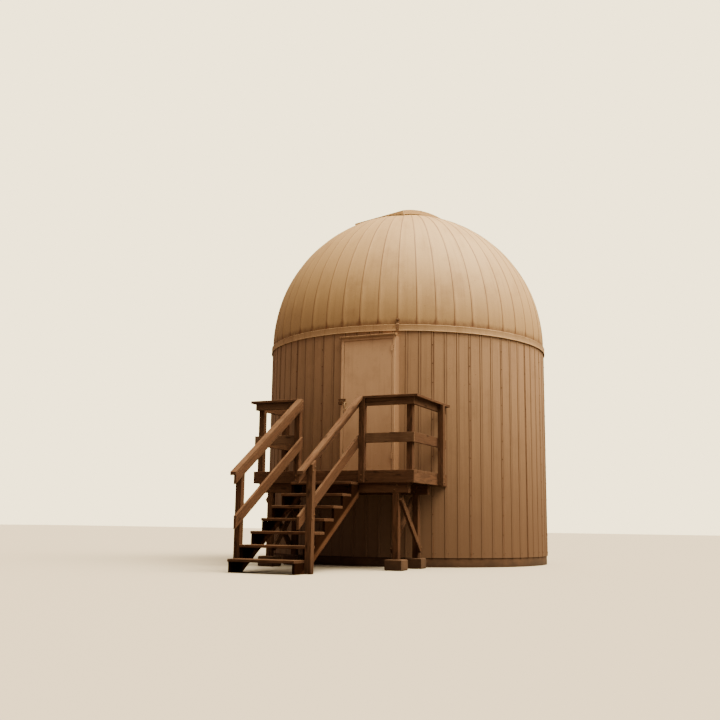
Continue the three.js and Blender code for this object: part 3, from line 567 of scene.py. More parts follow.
shape = bmesh.new()
profile = [(plate_inner, ring_low.z), (plate_outer, ring_low.z), (plate_outer, plate_top - plate_lip)]
profile += [(plate_outer - plate_lip, plate_top), (plate_inner + plate_lip, plate_top)]
profile += [(plate_inner, plate_top - plate_lip)]
turned(shape, profile)
wheel = [(0, 0.012), (0, 0.026), (0.003, roller_radius), (2 * roller_half - 0.003, roller_radius)]
wheel += [(2 * roller_half, 0.026), (2 * roller_half, 0.012)]
axle = [(0, 0.006), (0.001, 0.0075), (0.007, 0.0075), (0.007, 0.005), (0.047, 0.005), (0.047, 0.0075)]
axle += [(0.053, 0.0075)]
for number in range(roller_count):
    turn = (number + 0.5) * 360 / roller_count
    outward, sidelong = around(1, turn, 0), around(1, turn + 90, 0)
    hub = around(roller_track, turn, ring_high.z - roller_radius)
    spindle(shape, hub - outward * roller_half, outward, wheel, 32)
    spindle(shape, hub - outward * axle[-1][0] / 2, outward, axle, 12)
    for side in (-1, 1):
        base = hub + outward * (side * cheek_off - cheek_thick / 2)
        base.z = plate_top - 0.001
        rise = ring_high.z - cheek_clear - base.z
        corners = [(-cheek_half, 0), (cheek_half, 0), (cheek_half, rise - 0.008), (cheek_half - 0.01, rise)]
        corners += [(0.01 - cheek_half, rise), (-cheek_half, rise - 0.008)]
        slab(shape, [base + sidelong * x + upward * z for x, z in corners], outward * cheek_thick, 0.0008)
    for step in plate_bolts:
        spot = around(plate_outer - plate_bolt_inset, turn + step * plate_bolt_turn, plate_top)
        button(shape, spot, upward, 0.011, 0.008, 6)
piece("roller_ring", shape, "building", mill_steel, ["wall_top_ring"])

# The door's casing is two jambs and a head of pressed steel, painted cream like the leaf, with a stop
# folded round the inside that the leaf closes against.
casing_low, casing_high = own_box("door_frame")
backward = Vector((0, 1, 0))
jamb, casing_ease, casing_joint = 0.045, 0.003, 0.0004
stop_reach, stop_front, stop_back, stop_ease, stop_seat = 0.02, -2.435, -2.415, 0.0015, 0.002


def painted(name, paint, dirt, streaks, patches, specks, metallic=0.0):
    """A material of weathered painted sheet, with its surface, its place and its colour."""
    made, surface, place = material(name, metallic)
    sizes = {"Streaks": streaks, "Patches": patches, "Specks": specks}
    weather = placed(painted_sheet, Place=place, Paint=paint, Dirt=dirt, **sizes)
    dress(surface, weather["Color"], weather["Roughness"], relief(weather["Height"], 0.0012, 0.5))
    return made, surface, place, weather["Color"]


door_cream, door_grime_and_shade = (0.67, 0.47, 0.34), (0.195, 0.11, 0.07)
door_paint, surface, place, colour = painted("door_paint", door_cream, door_grime_and_shade, 0.22, 0.3, 0.35)
# The paint darkens towards the bottom.
low_darkening = place.parts()[2] + noise(place, (5, 5, 1.2), 5)
colour = mixed(eased(low_darkening, 1.5, 3.9, 0.75, 0.0), colour, door_grime_and_shade)
# Faces turned to the right are painted darker: a painted shade that tones down the light falling on them.
painted_shade_facing_right = node(place.tree, "NewGeometry")["Normal"].parts()[0]
dress(surface, mixed(eased(painted_shade_facing_right, 0.7, 0.95, 0.0, 0.8), colour, door_grime_and_shade))


def block(shape, low, high, ease):
    """A rectangular body between two corners, its rims eased at front and back."""
    corners = [(low[0], low[2]), (high[0], low[2]), (high[0], high[2]), (low[0], high[2])]
    slab(shape, flat(corners, Y, low[1]), backward * (high[1] - low[1]), ease)


shape = bmesh.new()
left, front, foot = casing_low
right, back, head = casing_high
lintel = head - jamb
block(shape, (left, front, foot), (left + jamb, back, lintel), casing_ease)
block(shape, (right - jamb, front, foot), (right, back, lintel), casing_ease)
block(shape, (left, front, lintel + casing_joint), (right, back, head), casing_ease)
stop_foot, stop_head = own_box("door_sill")[1].z + stop_seat, lintel - stop_reach
stops = [(left + jamb - stop_seat, left + jamb + stop_reach, stop_foot, stop_head)]
stops += [(right - jamb - stop_reach, right - jamb + stop_seat, stop_foot, stop_head)]
stops += [(left + jamb, right - jamb, stop_head, lintel + stop_seat)]
for stop_left, stop_right, bottom, top in stops:
    block(shape, (stop_left, stop_front, bottom), (stop_right, stop_back, top), stop_ease)
piece("door_casing", shape, "building", door_paint, ["door_frame"])

# The sill is an aluminium threshold, extruded with a rounded nose and three grip ribs along it, and
# screwed down between the jambs. Feet have dulled it.
sheet_metal = painted("sheet_metal", (0.45, 0.33, 0.22), (0.2, 0.1, 0.045), 0.3, 0.35, 0.3, 0.35)[0]
low, high = own_box("door_sill")
profile = [(low.y, low.z), (high.y, low.z), (high.y, high.z - 0.006), (high.y - 0.05, high.z)]
for rib in range(3):
    past = low.y + 0.075 - rib * 0.018
    profile += [(past + 0.008, high.z), (past + 0.006, high.z - 0.003), (past - 0.002, high.z - 0.003)]
    profile += [(past - 0.004, high.z)]
profile += [(low.y + 0.02, high.z), (low.y + 0.003, high.z - 0.008), (low.y, high.z - 0.014)]
shape = bmesh.new()
slab(shape, flat(profile, X, low.x), rightward * (high.x - low.x), 0.0006)
piece("threshold", shape, "building", sheet_metal, ["door_sill"])

# The door leaf is a flush steel slab, two skins folded over a core and painted cream. A hemmed seam runs
# down each edge where the skins meet.
leaf_low, leaf_high = own_box("door_leaf")
leaf_seam, seam_half = 0.012, 0.0012
shape = bmesh.new()
block(shape, leaf_low, leaf_high, 0.0022)
for x in (leaf_low.x + leaf_seam, leaf_high.x - leaf_seam):
    low = (x - seam_half, leaf_low.y - 0.0009, leaf_low.z + 0.004)
    block(shape, low, (x + seam_half, leaf_low.y + 0.001, leaf_high.z - 0.004), 0.0003)
piece("door_slab", shape, "door", door_paint, ["door_leaf"])

# Two butt hinges hang the leaf, painted over with it. Each has a loose pin with a round head and screws
# through each plate; its barrels and plates are the CAD's own.
pin_off, screw_inset, screw_proud = 0.008, 0.011, 0.0033
pin_head = [(0, 0.0075), (0.004, 0.0085), (0.008, 0.004)]
pin_end = [(0, 0.004), (0.003, 0.0075), (0.007, 0.0075)]
plate_screw, plate_screw_shares = (0.0042, 0.0012), (0.18, 0.5, 0.82)
for level in ("upper", "lower"):
    fixed, swinging = f"door_hinge_{level}", f"door_hinge_leaf_{level}"
    for name in (fixed, swinging):
        frame["nodes"][name].data.materials.clear()
        frame["nodes"][name].data.materials.append(door_paint)
    low, high = own_box(fixed)
    plate_left = own_box(swinging)[0].x
    shape, leaf_shape = bmesh.new(), bmesh.new()
    for profile, height in ((pin_head, high.z - 0.002), (pin_end, low.z - 0.006)):
        spindle(shape, Vector((low.x + pin_off, low.y + pin_off, height)), upward, profile)
    for share in plate_screw_shares:
        z = low.z + (high.z - low.z) * share
        spot = Vector((high.x - screw_inset, casing_low.y - screw_proud, z))
        button(shape, spot, -backward, *plate_screw)
        spot = Vector((plate_left + screw_inset, leaf_low.y - screw_proud, z))
        button(leaf_shape, spot, -backward, *plate_screw)
    piece(f"hinge_pin_{level}", shape, "building", rusty_iron)
    piece(f"hinge_screws_{level}", leaf_shape, "door", door_paint)

# The pull is a round bar bent to a bow between two oval feet, cast in one piece and screwed to the leaf
# through each foot.
low, high = own_box("door_pull")
pull_x, pull_z = (low.x + high.x) / 2, (low.z + high.z) / 2
bar_radius, pull_half, foot_thick, pull_seat = 0.0068, 0.052, 0.006, 0.003
foot_wide, foot_high = 0.0148, 0.0218
pull_reach = high.y - low.y - bar_radius - pull_seat
bow_steps = 24


def bar(shape, path, side, radius, sides):
    """A bent round bar. Its path gives each centre, with the direction in which the bar runs there."""
    rows = []
    for centre, ahead in path:
        up = ahead.cross(side)
        turns = [2 * math.pi * step / sides for step in range(sides)]
        spots = [centre + (side * math.cos(turn) + up * math.sin(turn)) * radius for turn in turns]
        rows.append([shape.verts.new(spot) for spot in spots])
    skin(shape, rows)


bow = []
for step in range(bow_steps + 1):
    turn = math.pi * step / bow_steps
    y = high.y - pull_seat - pull_reach * math.sin(turn) ** 0.55 if 0 < step < bow_steps else high.y - 0.001
    bow.append(Vector((pull_x, y, pull_z + pull_half * math.cos(turn))))
path = []
for step, centre in enumerate(bow):
    path.append((centre, (bow[min(step + 1, bow_steps)] - bow[max(step - 1, 0)]).normalized()))
shape = bmesh.new()
bar(shape, path, rightward, bar_radius, 12)
for side in (-1, 1):
    middle = pull_z + side * pull_half
    turns = [2 * math.pi * step / 16 for step in range(16)]
    oval = [(pull_x + foot_wide * math.cos(turn), middle + foot_high * math.sin(turn)) for turn in turns]
    slab(shape, flat(oval, Y, high.y), backward * -foot_thick, 0.0015)
    for off in (-0.014, 0.014):
        button(shape, Vector((pull_x, high.y - foot_thick, middle + off)), -backward, 0.0032, 0.001)
piece("pull_handle", shape, "door", sheet_metal, ["door_pull"])

# The hasp is an iron strap bolted to the leaf, which reaches over the casing with a rounded end. A
# padlock with a steel shackle hangs from its staple.
hasp_low, hasp_high = own_box("door_hasp")
strap_half, strap_back, strap_front = 0.014, -2.496, -2.502
strap_middle = hasp_high.z - strap_half
strap_bolts, strap_bolt = (0.012, 0.028), (0.004, 0.0015)
lock_right, lock_wide, lock_thick, lock_low, lock_high = -0.0875, 0.07, 0.028, hasp_low.z, 2.53
lock_corner, lock_bevel, lock_shoulder, lock_neck = 0.008, 0.006, 0.024, 0.018
shackle_half, shackle_radius, shackle_steps, shackle_foot = 0.02, 0.0045, 14, 0.019
shape = bmesh.new()
outline = [(hasp_high.x, strap_middle - strap_half), (hasp_high.x, strap_middle + strap_half)]
for step in range(9):
    turn = math.pi / 2 + math.pi * step / 8
    x = hasp_low.x + strap_half + strap_half * math.cos(turn)
    outline.append((x, strap_middle + strap_half * math.sin(turn)))
slab(shape, flat(outline, Y, strap_front), backward * (strap_back - strap_front), 0.001)
low = (leaf_low.x + 0.004, strap_back - 0.0005, strap_middle - strap_half)
block(shape, low, (hasp_high.x, leaf_low.y, strap_middle + strap_half), 0.0008)
for off in strap_bolts:
    button(shape, Vector((leaf_low.x + off, strap_front, strap_middle)), -backward, *strap_bolt)
lock_left = lock_right - lock_wide
shoulder, neck = lock_high - lock_shoulder, lock_high - lock_neck
outline = [(lock_left + lock_corner, lock_low), (lock_right - lock_corner, lock_low)]
outline += [(lock_right, lock_low + lock_corner), (lock_right, shoulder), (lock_right - lock_bevel, neck)]
outline += [(lock_left + lock_bevel, neck), (lock_left, shoulder), (lock_left, lock_low + lock_corner)]
slab(shape, flat(outline, Y, hasp_low.y), backward * lock_thick, 0.003)
path = []
for step in range(shackle_steps + 1):
    turn = math.pi * step / shackle_steps
    ahead = Vector((-math.sin(turn), 0, math.cos(turn)))
    x = (lock_left + lock_right) / 2 + shackle_half * math.cos(turn)
    z = lock_high - shackle_foot + shackle_half * math.sin(turn)
    path.append((Vector((x, hasp_low.y + lock_thick / 2, z)), ahead))
bar(shape, path, backward, shackle_radius, 10)
piece("hasp_and_lock", shape, "door", rusty_iron, ["door_hasp"])

# The drip cap is one bent sheet over the door's head: an upstand against the wall, a slope and a
# turned-down front with a hem, closed at both ends. Its paint has gone brown.
low, high = own_box("door_drip_cap")
cap_sheet, slope_front, upstand_foot = 0.003, 3.5365, casing_high.z + 0.002
cap_paint = painted("cap_paint", (0.24, 0.145, 0.085), (0.12, 0.05, 0.025), 0.3, 0.5, 0.4)[0]
profile = [(high.y, high.z), (low.y, slope_front), (low.y, low.z + 0.003), (low.y + 0.001, low.z)]
profile += [(low.y + 0.005, low.z), (low.y + 0.005, low.z + 0.008), (low.y + cap_sheet, low.z + 0.009)]
profile += [(low.y + cap_sheet, slope_front - cap_sheet), (high.y - cap_sheet, high.z - cap_sheet)]
profile += [(high.y - cap_sheet, upstand_foot), (high.y, upstand_foot)]
shape = bmesh.new()
slab(shape, flat(profile, X, low.x), rightward * (high.x - low.x), 0.0004)
cheek = [(high.y, high.z - 0.001), (low.y + 0.001, slope_front - 0.001), (low.y + 0.001, low.z + 0.002)]
cheek.append((high.y, upstand_foot))
for x in (low.x + 0.0005, high.x - 0.0025):
    slab(shape, flat(cheek, X, x), rightward * 0.002, 0.0003)
piece("drip_cap", shape, "building", cap_paint, ["door_drip_cap"])

# The dome's base ring is a rolled steel channel that runs on the rollers. Bolts on its inside hold the
# feet of the gores.
low, high = own_box("dome_base_ring")
base_inner, base_outer, channel, channel_deep = 2.35, high.x, 0.006, 0.06
base_bolts, base_bolt_first, base_bolt_pitch, base_bolt_inset = 50, 3, 7.2, 0.02
profile = [(base_inner, low.z), (base_outer, low.z), (base_outer, high.z), (base_inner, high.z)]
profile += [(base_inner, high.z - channel), (base_inner + channel_deep, high.z - channel)]
profile += [(base_inner + channel_deep, low.z + channel), (base_inner, low.z + channel)]
shape = bmesh.new()
turned(shape, profile)
for step in range(base_bolts):
    turn = step * base_bolt_pitch + base_bolt_first
    button(shape, around(base_inner + base_bolt_inset, turn, high.z), upward, 0.009, 0.007, 6)
piece("base_channel", shape, "dome", mill_steel, ["dome_base_ring"])

# The band round the dome's foot is galvanised sheet, folded over the base ring, with a rolled bead at
# its lower edge. Its two lengths meet at rusty iron clamps that reach up on to the shell.
band_low, band_high = own_box("skirt_band")
band_radius = band_high.x - 0.0004
band_inner, band_bead = 2.4502, 0.0026
band_cream, band_rust = (0.5, 0.35, 0.225), (0.13, 0.055, 0.025)
splice_turn, splice_pitch = 18.0, 180.0
band_paint, surface, place, colour = painted("band_paint", band_cream, band_rust, 0.25, 0.3, 0.3, 0.2)
splices = placed(round_place, Place=place, First=splice_turn, Pitch=splice_pitch, Radius=band_radius)
beside = eased(abs(splices["Sideways"]), 0.02, 0.16, 0.2, 0.0)
rusted = noise(splices["Upright"], (14, 14, 5), 6, 0.68) + beside
dress(surface, mixed(eased(rusted, 0.6, 0.8, 0.0, 0.7), colour, band_rust))

bottom, top, fold = band_low.z, band_high.z, base_outer + 0.0008
profile = [(band_inner, bottom), (band_radius - 0.002, bottom), (band_radius, bottom + 0.003)]
profile += [(band_radius, bottom + 0.009), (band_radius - band_bead, bottom + 0.012)]
profile += [(band_radius - band_bead, top - 0.012), (band_radius - 0.0012, top - 0.008)]
profile += [(band_radius - 0.0016, top - 0.003), (band_radius - 0.005, top)]
profile += [(fold, top), (fold, top - 0.006), (band_inner, top - 0.011)]
shape = bmesh.new()
turned(shape, profile, steps=180)
piece("band", shape, "dome", band_paint, ["skirt_band"])

clamp_half, clamp_thick, clamp_top = 0.022, 0.006, 3.792
head_half, head_high, head_thick = 0.034, 0.034, 0.009
clamp_back, shell_low, shell_high = band_radius + 0.0005, 2.4415, 2.4405
clamp_face = clamp_back + clamp_thick
clamp_rust = painted("clamp_rust", (0.2, 0.115, 0.065), (0.1, 0.045, 0.022), 0.4, 0.5, 0.5)[0]
strap = [(clamp_back, bottom - 0.004), (clamp_face, bottom - 0.004), (clamp_face, top + 0.004)]
strap += [(shell_low + clamp_thick, top + 0.024), (shell_high + clamp_thick, clamp_top)]
strap += [(shell_high, clamp_top), (shell_low, top + 0.022), (clamp_back, top + 0.002)]
head = [(-head_half, 0.004), (-head_half + 0.006, -0.012), (head_half - 0.006, -0.012), (head_half, 0.004)]
head += [(head_half - 0.01, head_high - 0.012), (-head_half + 0.012, head_high - 0.012)]
shape = bmesh.new()
for turn in (splice_turn, splice_turn + splice_pitch):
    outward, sidelong = around(1, turn, 0), around(1, turn + 90, 0)
    outline = [outward * radius + upward * height - sidelong * clamp_half for radius, height in strap]
    slab(shape, outline, sidelong * clamp_half * 2, 0.001)
    middle = outward * (shell_high + clamp_thick) + upward * clamp_top
    slab(shape, [middle + sidelong * x + upward * z for x, z in head], outward * head_thick, 0.002)
    button(shape, middle + outward * head_thick + upward * 0.002, outward, 0.009, 0.008, 6)
    for z in (bottom + 0.025, top - 0.02):
        button(shape, outward * clamp_face + upward * z, outward, 0.007, 0.006, 6)
piece("band_clamps", shape, "dome", clamp_rust)

# The dome is a shell of fifty steel gores that lap each other along their edges, with flanges turned in
# and bolted together inside. The slit between two rails is left open for the shutters.
dome_radius, dome_centre = -own_box("dome_gores_2")[0].x, 3.775
gore_first, gore_pitch, gore_count, gores_a_panel = 161.8, 7.2, 50, 10
gore_foot = own_box("dome_gores_1")[0].z
gore_sheet, gore_flange, gore_lap, gore_lap_rise = 0.003, 0.022, 0.024, 0.0022
gore_crown, gore_gap_turn, gore_steps = 0.45, 0.002, 26
slit_edge, header_angle = 0.5405, -17.6

dome_paint, surface, place = material("dome_paint", roughness=0.46)
shell_cream, shell_grime = (0.48, 0.335, 0.185), (0.19, 0.1, 0.055)
foot_rust_and_shade_colour, seam_rust = (0.12, 0.055, 0.024), (0.13, 0.05, 0.02)
seams = placed(round_place, Place=place, First=gore_first, Pitch=gore_pitch, Radius=dome_radius)
sizes = {"Streaks": 0.2, "Patches": 0.25, "Specks": 0.45}
weather = placed(painted_sheet, Place=seams["Upright"], Paint=shell_cream, Dirt=shell_grime, **sizes)
level_place = node(place.tree, "VectorMath", {0: place, 1: (1, 1, 0)}, operation="MULTIPLY")[0]
reach = node(place.tree, "VectorMath", {0: level_place}, operation="LENGTH")["Value"]
narrowing = reach / dome_radius
from_seam = seams["Sideways"] * narrowing
edge, lap = abs(from_seam), abs(from_seam - narrowing * gore_lap)
worn = noise(seams["Upright"], (24, 24, 2.2), 5, 0.6)
seam_dirt = eased(edge, 0.004, 0.012, 1, 0) * eased(worn, 0.3, 0.7, 0.6, 1.0)
lap_dirt = eased(lap, 0.001, 0.006, 1, 0) * eased(worn, 0.35, 0.7, 0.2, 0.7)
above_foot = seams["Height"] - gore_foot
foot_noise = noise(seams["Upright"], (22, 22, 9), 5, 0.65)
blot = eased(edge + above_foot * 0.42, 0.02, 0.085, 1, 0) * eased(foot_noise, 0.36, 0.62, 0.25, 1)
# A rust-coloured band is painted at the gores' feet: partly rust, partly a painted shade line where the shell
# meets the band.
foot_rust_and_shade = eased(above_foot + foot_noise * -0.12, -0.06, 0.06, 0.75, 0)
colour = mixed(seam_dirt.sum("MAXIMUM", lap_dirt), weather["Color"], shell_grime)
colour = mixed(eased(above_foot + worn * 0.5, 0.1, 1.5, 0.3, 0.0), colour, shell_grime)
colour = mixed(foot_rust_and_shade, colour, foot_rust_and_shade_colour)
colour = mixed(blot * 0.85, colour, seam_rust)
dress(surface, colour, weather["Roughness"], relief(weather["Height"], 0.0012, 0.5))


def gore_top(turn):
    """The angle from the zenith at which a gore begins, where it meets the slit's rails or header."""
    past = math.radians(turn - gore_first)
    reach, ahead = abs(math.sin(past)) * dome_radius, math.cos(past)
    rail = math.asin(slit_edge / reach) if reach > slit_edge else math.pi / 2
    if ahead < 0:
        return min(rail, math.atan(math.tan(math.radians(-header_angle)) / -ahead))
    return rail


def gore(shape, start, end, dice):
    """One gore between two turns: a curved sheet that is nearly flat across, with its lap and flanges."""
    width = math.radians(end - start) * dome_radius
    edge, lap_end = gore_sheet / width, gore_lap / width
    spots = [0, edge, lap_end, lap_end + 2 * edge, 0.35, 0.5, 0.65, 0.8, 1 - edge, 1]
    foot = math.acos((gore_foot - dome_centre) / dome_radius)
    half = math.radians(gore_pitch / 2)
    sink = dice.uniform(-0.0006, 0.0004)
    rows = []
    for spot in spots:
        turn = start + (end - start) * spot
        top = gore_top(turn)
        from_seam = math.radians((turn - gore_first) % gore_pitch) - half
        crowned = dome_radius * (1 - gore_crown * (1 - math.cos(half) / math.cos(from_seam))) - gore_lap_rise
        rise = gore_lap_rise if spot <= lap_end + 1e-6 else 0
        depth = gore_flange if spot in (0, edge, 1, 1 - edge) else gore_sheet
        angles = [top + (foot - top) * step / gore_steps for step in range(gore_steps + 1)]
        ways = [(angle, crowned + rise + sink) for angle in angles]
        ways += [(angle, crowned - depth) for angle in reversed(angles)]
        ways = [(reach * math.sin(angle), dome_centre + reach * math.cos(angle)) for angle, reach in ways]
        rows.append([shape.verts.new(around(radius, turn, height)) for radius, height in ways])
    skin(shape, rows)


dice = random.Random(23)
hidden_half = math.degrees(math.asin(slit_edge / dome_radius))
for panel in range(gore_count // gores_a_panel):
    shape = bmesh.new()
    for number in range(panel * gores_a_panel, (panel + 1) * gores_a_panel):
        start = gore_first + number * gore_pitch
        end = min(start + gore_pitch, gore_first + 360 - hidden_half)
        start = max(start, gore_first + hidden_half)
        if end - start > 0.1:
            gore(shape, start + gore_gap_turn, end - gore_gap_turn, dice)
    name = f"gores_{panel + 1}"
    piece(name, shape, "dome", dome_paint, ["dome_" + name], crease=20)

# The slit's frame is rolled steel: two curved channels that run over the crown and straight down to the
# foot, a header across their back ends and a sill across their feet. It is painted like the shell.
heading = around(1, gore_first, 0)
across = Vector((-heading.y, heading.x, 0))
crown = upward * dome_centre
rail_inner, rail_outer, rail_web, rail_lip = 2.35, 2.4454, 0.006, 0.0015
rail_near, rail_far = 0.5, 0.54
cut_start, header_end, header_outer, header_ease = -17.5, -15.5, 2.436, 0.002
rail_bolts, rail_bolt_first, rail_bolt_pitch, rail_bolt_radius = 22, 3, 4.8, 2.4
bolt_places, bolt_spread, sill_bolt_inset = (-2, -1, 0, 1, 2), 0.2, 0.05
trim_paint = painted("trim_paint", shell_cream, shell_grime, 0.2, 0.3, 0.5)[0]


def arch_way(angle):
    """The direction from the dome's centre to the slit's middle line, at an angle from the zenith."""
    return heading * math.sin(math.radians(angle)) + upward * math.cos(math.radians(angle))


def on_arch(sideways, radius, angle):
    """A point over the slit, at a distance to one side, a radius and an angle from the zenith."""
    return crown + across * sideways + arch_way(angle) * radius


def arched(shape, profile, start, end, foot=None, step=1.5):
    """A closed profile of (sideways, radius) carried along the arch, and then straight down to a foot."""
    count = max(1, round((end - start) / step))
    rows = []
    for place in range(count + 1):
        angle = start + (end - start) * place / count
        rows.append([shape.verts.new(on_arch(sideways, radius, angle)) for sideways, radius in profile])
    if foot is not None:
        level = [on_arch(sideways, radius, 90) for sideways, radius in profile]
        rows.append([shape.verts.new((spot.x, spot.y, foot)) for spot in level])
    skin(shape, rows)


for side, name in ((-1, "left"), (1, "right")):
    shape = bmesh.new()
    near, far, web, lip = (side * size for size in (rail_near, rail_far, rail_web, rail_lip))
    outer, inner, above = rail_outer - rail_lip, rail_inner, rail_inner + rail_web
    below = rail_outer - rail_web
    profile = [(near, outer), (near + lip, rail_outer), (far - lip, rail_outer), (far, outer), (far, inner)]
    profile += [(near, inner), (near, above), (far - web, above), (far - web, below), (near, below)]
    arched(shape, profile, cut_start, 90, gore_foot)
    for place in range(rail_bolts):
        angle = cut_start + rail_bolt_first + place * rail_bolt_pitch
        spot = on_arch(far - web, rail_bolt_radius, angle)
        button(shape, spot, across * -side, 0.0085, 0.006, 6)
    piece(f"slit_channel_{name}", shape, "dome", trim_paint, [f"slit_rail_{name}"], crease=25)

shape = bmesh.new()
half = rail_near - 0.0003
profile = [(-half, rail_inner), (-half, header_outer - header_ease), (header_ease - half, header_outer)]
profile += [(half - header_ease, header_outer), (half, header_outer - header_ease), (half, rail_inner)]
arched(shape, profile, cut_start, header_end)
angle = (cut_start + header_end) / 2
for place in bolt_places:
    spot = on_arch(place * bolt_spread, header_outer - 0.001, angle)
    button(shape, spot, arch_way(angle), 0.009, 0.005, 6)
piece("slit_header_bar", shape, "dome", trim_paint, ["slit_header"], crease=25)

sill_top = own_box("slit_sill")[1].z
shape = bmesh.new()
corners = ((-half, rail_inner), (-half, rail_outer), (half, rail_outer), (half, rail_inner))
corners = [across * sideways + heading * reach + upward * gore_foot for sideways, reach in corners]
slab(shape, corners, upward * (sill_top - gore_foot), 0.002)
for place in bolt_places:
    spot = across * place * bolt_spread + heading * (rail_inner + sill_bolt_inset) + upward * sill_top
    button(shape, spot, upward, 0.009, 0.006, 6)
piece("slit_sill_bar", shape, "dome", trim_paint, ["slit_sill"], crease=25)

# The upper shutter is a hood of steel sheets, bent along the slit and flat across it, with the sides
# turned down and hemmed. Straps cover the joints, and a plate closes the end behind the crown; the plate is
# painted paler than the hood, a painted light for its face that stands in shade. The lower shutter is made
# the same way and fills the rest of the slit, down to the band.
hood_start, hood_end, hood_joints = -19.5, 62.0, (-8.0, 12.0, 32.0, 52.0)
lower_start, lower_joints, lower_foot = 62.15, (75.0,), own_box("lower_shutter")[0].z
cover_inner, cover_outer, cover_foot = 2.446, 2.4578, 2.38
cover_half, cover_sheet, cover_hem, cover_bend = 0.58, 0.003, 0.012, 0.004
stiffener, strap_rise, strap_turn, strap_side = 0.25, 0.0016, 0.9, 0.03
strap_screw, strap_screws, strap_spread = (0.006, 0.0022), 9, 1.9
plate_radius, plate_steps, plate_inset = 2.442, 24, 0.0005


def cover(shape, start, end, foot, joints):
    """A shutter: bent sheet with hemmed sides, stiff ends and straps with screws over its joints."""
    top, far, near, thin = cover_outer - strap_rise, cover_half, cover_half - cover_sheet, 0.001
    hem, hem_top = far - cover_hem, cover_foot + cover_sheet
    right = [(far, top - cover_bend), (far, cover_foot), (hem, cover_foot), (hem, hem_top)]
    right += [(near, hem_top), (near, top - cover_sheet)]
    profile = [(cover_bend - far, top), (far - cover_bend, top)] + right
    arched(shape, profile + [(-sideways, radius) for sideways, radius in reversed(right)], start, end, foot)
    inside = [(-near, cover_inner), (-near, top - thin), (near, top - thin), (near, cover_inner)]
    for angle in [start] if foot is not None else [start, end - stiffener]:
        arched(shape, inside, angle + 0.001, angle + stiffener)
    outside = [(-far, top - strap_side), (-far, top - cover_bend), (cover_bend - far, cover_outer)]
    outside += [(-sideways, radius) for sideways, radius in reversed(outside)]
    under = [(far - thin, top - strap_side), (far - thin, top - thin)]
    strap = outside + under + [(-sideways, radius) for sideways, radius in reversed(under)]
    for angle in joints:
        arched(shape, strap, angle, angle + strap_turn)
        for place in range(strap_screws):
            sideways = (place / (strap_screws - 1) - 0.5) * strap_spread * near
            spot = on_arch(sideways, cover_outer - strap_screw[1], angle + strap_turn / 2)
            button(shape, spot, arch_way(angle + strap_turn / 2), *strap_screw)


shape = bmesh.new()
cover(shape, hood_start, hood_end, None, hood_joints)
piece("hood", shape, "upper_shutter", trim_paint, ["upper_shutter"], crease=25)

# The end plate is painted paler than the hood: a painted light, as its face stands in shade.
plate_painted_light = painted("plate_painted_light", (0.9, 0.78, 0.56), (0.6, 0.44, 0.26), 0.2, 0.25, 0.3)[0]
plate_half, plate_high = cover_half - plate_inset, cover_inner + 0.004
outline = [on_arch(-plate_half, plate_high, hood_start)]
for step in range(-plate_steps, plate_steps + 1):
    sideways = plate_half * step / plate_steps
    outline.append(on_arch(sideways, min(math.sqrt(plate_radius**2 - sideways**2), cover_inner), hood_start))
outline.append(on_arch(plate_half, plate_high, hood_start))
shape = bmesh.new()
slab(shape, outline, arch_way(hood_start - 90) * 3 * cover_sheet, 0.0003)
piece("hood_end_plate", shape, "upper_shutter", plate_painted_light, crease=25)

shape = bmesh.new()
cover(shape, lower_start, 90, lower_foot, lower_joints)
piece("lower_cover", shape, "dome", trim_paint, ["lower_shutter"], crease=25)

# The deck stands on four square posts, each on a concrete block, with doubled beams across them. Each
# pair of posts has two crossed braces, bolted on. All the timber is sawn, stained brown and worn.
plank, post = 0.038, 0.089
leg_rows, leg_low, leg_top = (-3.35, -2.58), 0.1503, own_box("deck_legs_left")[1].z
leg_lefts = {"left": -0.904, "right": 1.11}
brace_top, brace_foot, brace_bolt = leg_top - 0.07, 0.26, 0.03
bolt_head, bolt_washer = (0.0105, 0.007), (0.018, 0.003)

timber_stain, surface, place = material("timber_stain", roughness=0.82)
feed(surface["Specular IOR Level"], 0.15)
wood = placed(sawn_grain, Place=node(place.tree, "Attribute", attribute_name="grain")["Vector"])
paleness = node(place.tree, "Attribute", attribute_name="pale")["Fac"]
facing_up = node(place.tree, "NewGeometry")["Normal"].parts()[2]
wear = noise(place, 3.1, 6, 0.6)
brown, tan, dark = (0.058, 0.025, 0.015), (0.112, 0.054, 0.033), (0.02, 0.0085, 0.005)
cracked, silver, silver_pale = (0.012, 0.007, 0.004), (0.112, 0.066, 0.044), (0.19, 0.122, 0.087)
colour = mixed(eased(wood["Fibre"], 0.3, 0.7), brown, tan)
colour = mixed(eased(wood["Rings"], 0.1, 0.9, 0.0, 0.5), colour, dark)
sunned = eased(facing_up, 0.3, 0.9) * eased(wear, 0.32, 0.62, 0.35, 1.0) * 0.6
# Each board is bleached by its own paleness: worn wood, and on the deck's front guard boards a painted light.
pale_wear_and_painted_light = paleness * eased(wear, 0.38, 0.6, 0.45, 0.85)
bleached = mixed(eased(wood["Fibre"], 0.3, 0.75), silver, silver_pale)
colour = mixed(sunned.sum("MAXIMUM", pale_wear_and_painted_light), colour, bleached)
colour = mixed(wood["Knots"] * 0.75, colour, dark)
colour = mixed(wood["Cracks"] * 0.9, colour, cracked)
colour = mixed(eased(place.parts()[2] + wear * 0.5, 0.25, 0.7, 0.6, 0.0), colour, dark)
ridges = wood["Fibre"] + wood["Rings"] - wood["Cracks"] * 2.5
dress(surface, colour, normal=relief(ridges, 0.0011, 0.6))


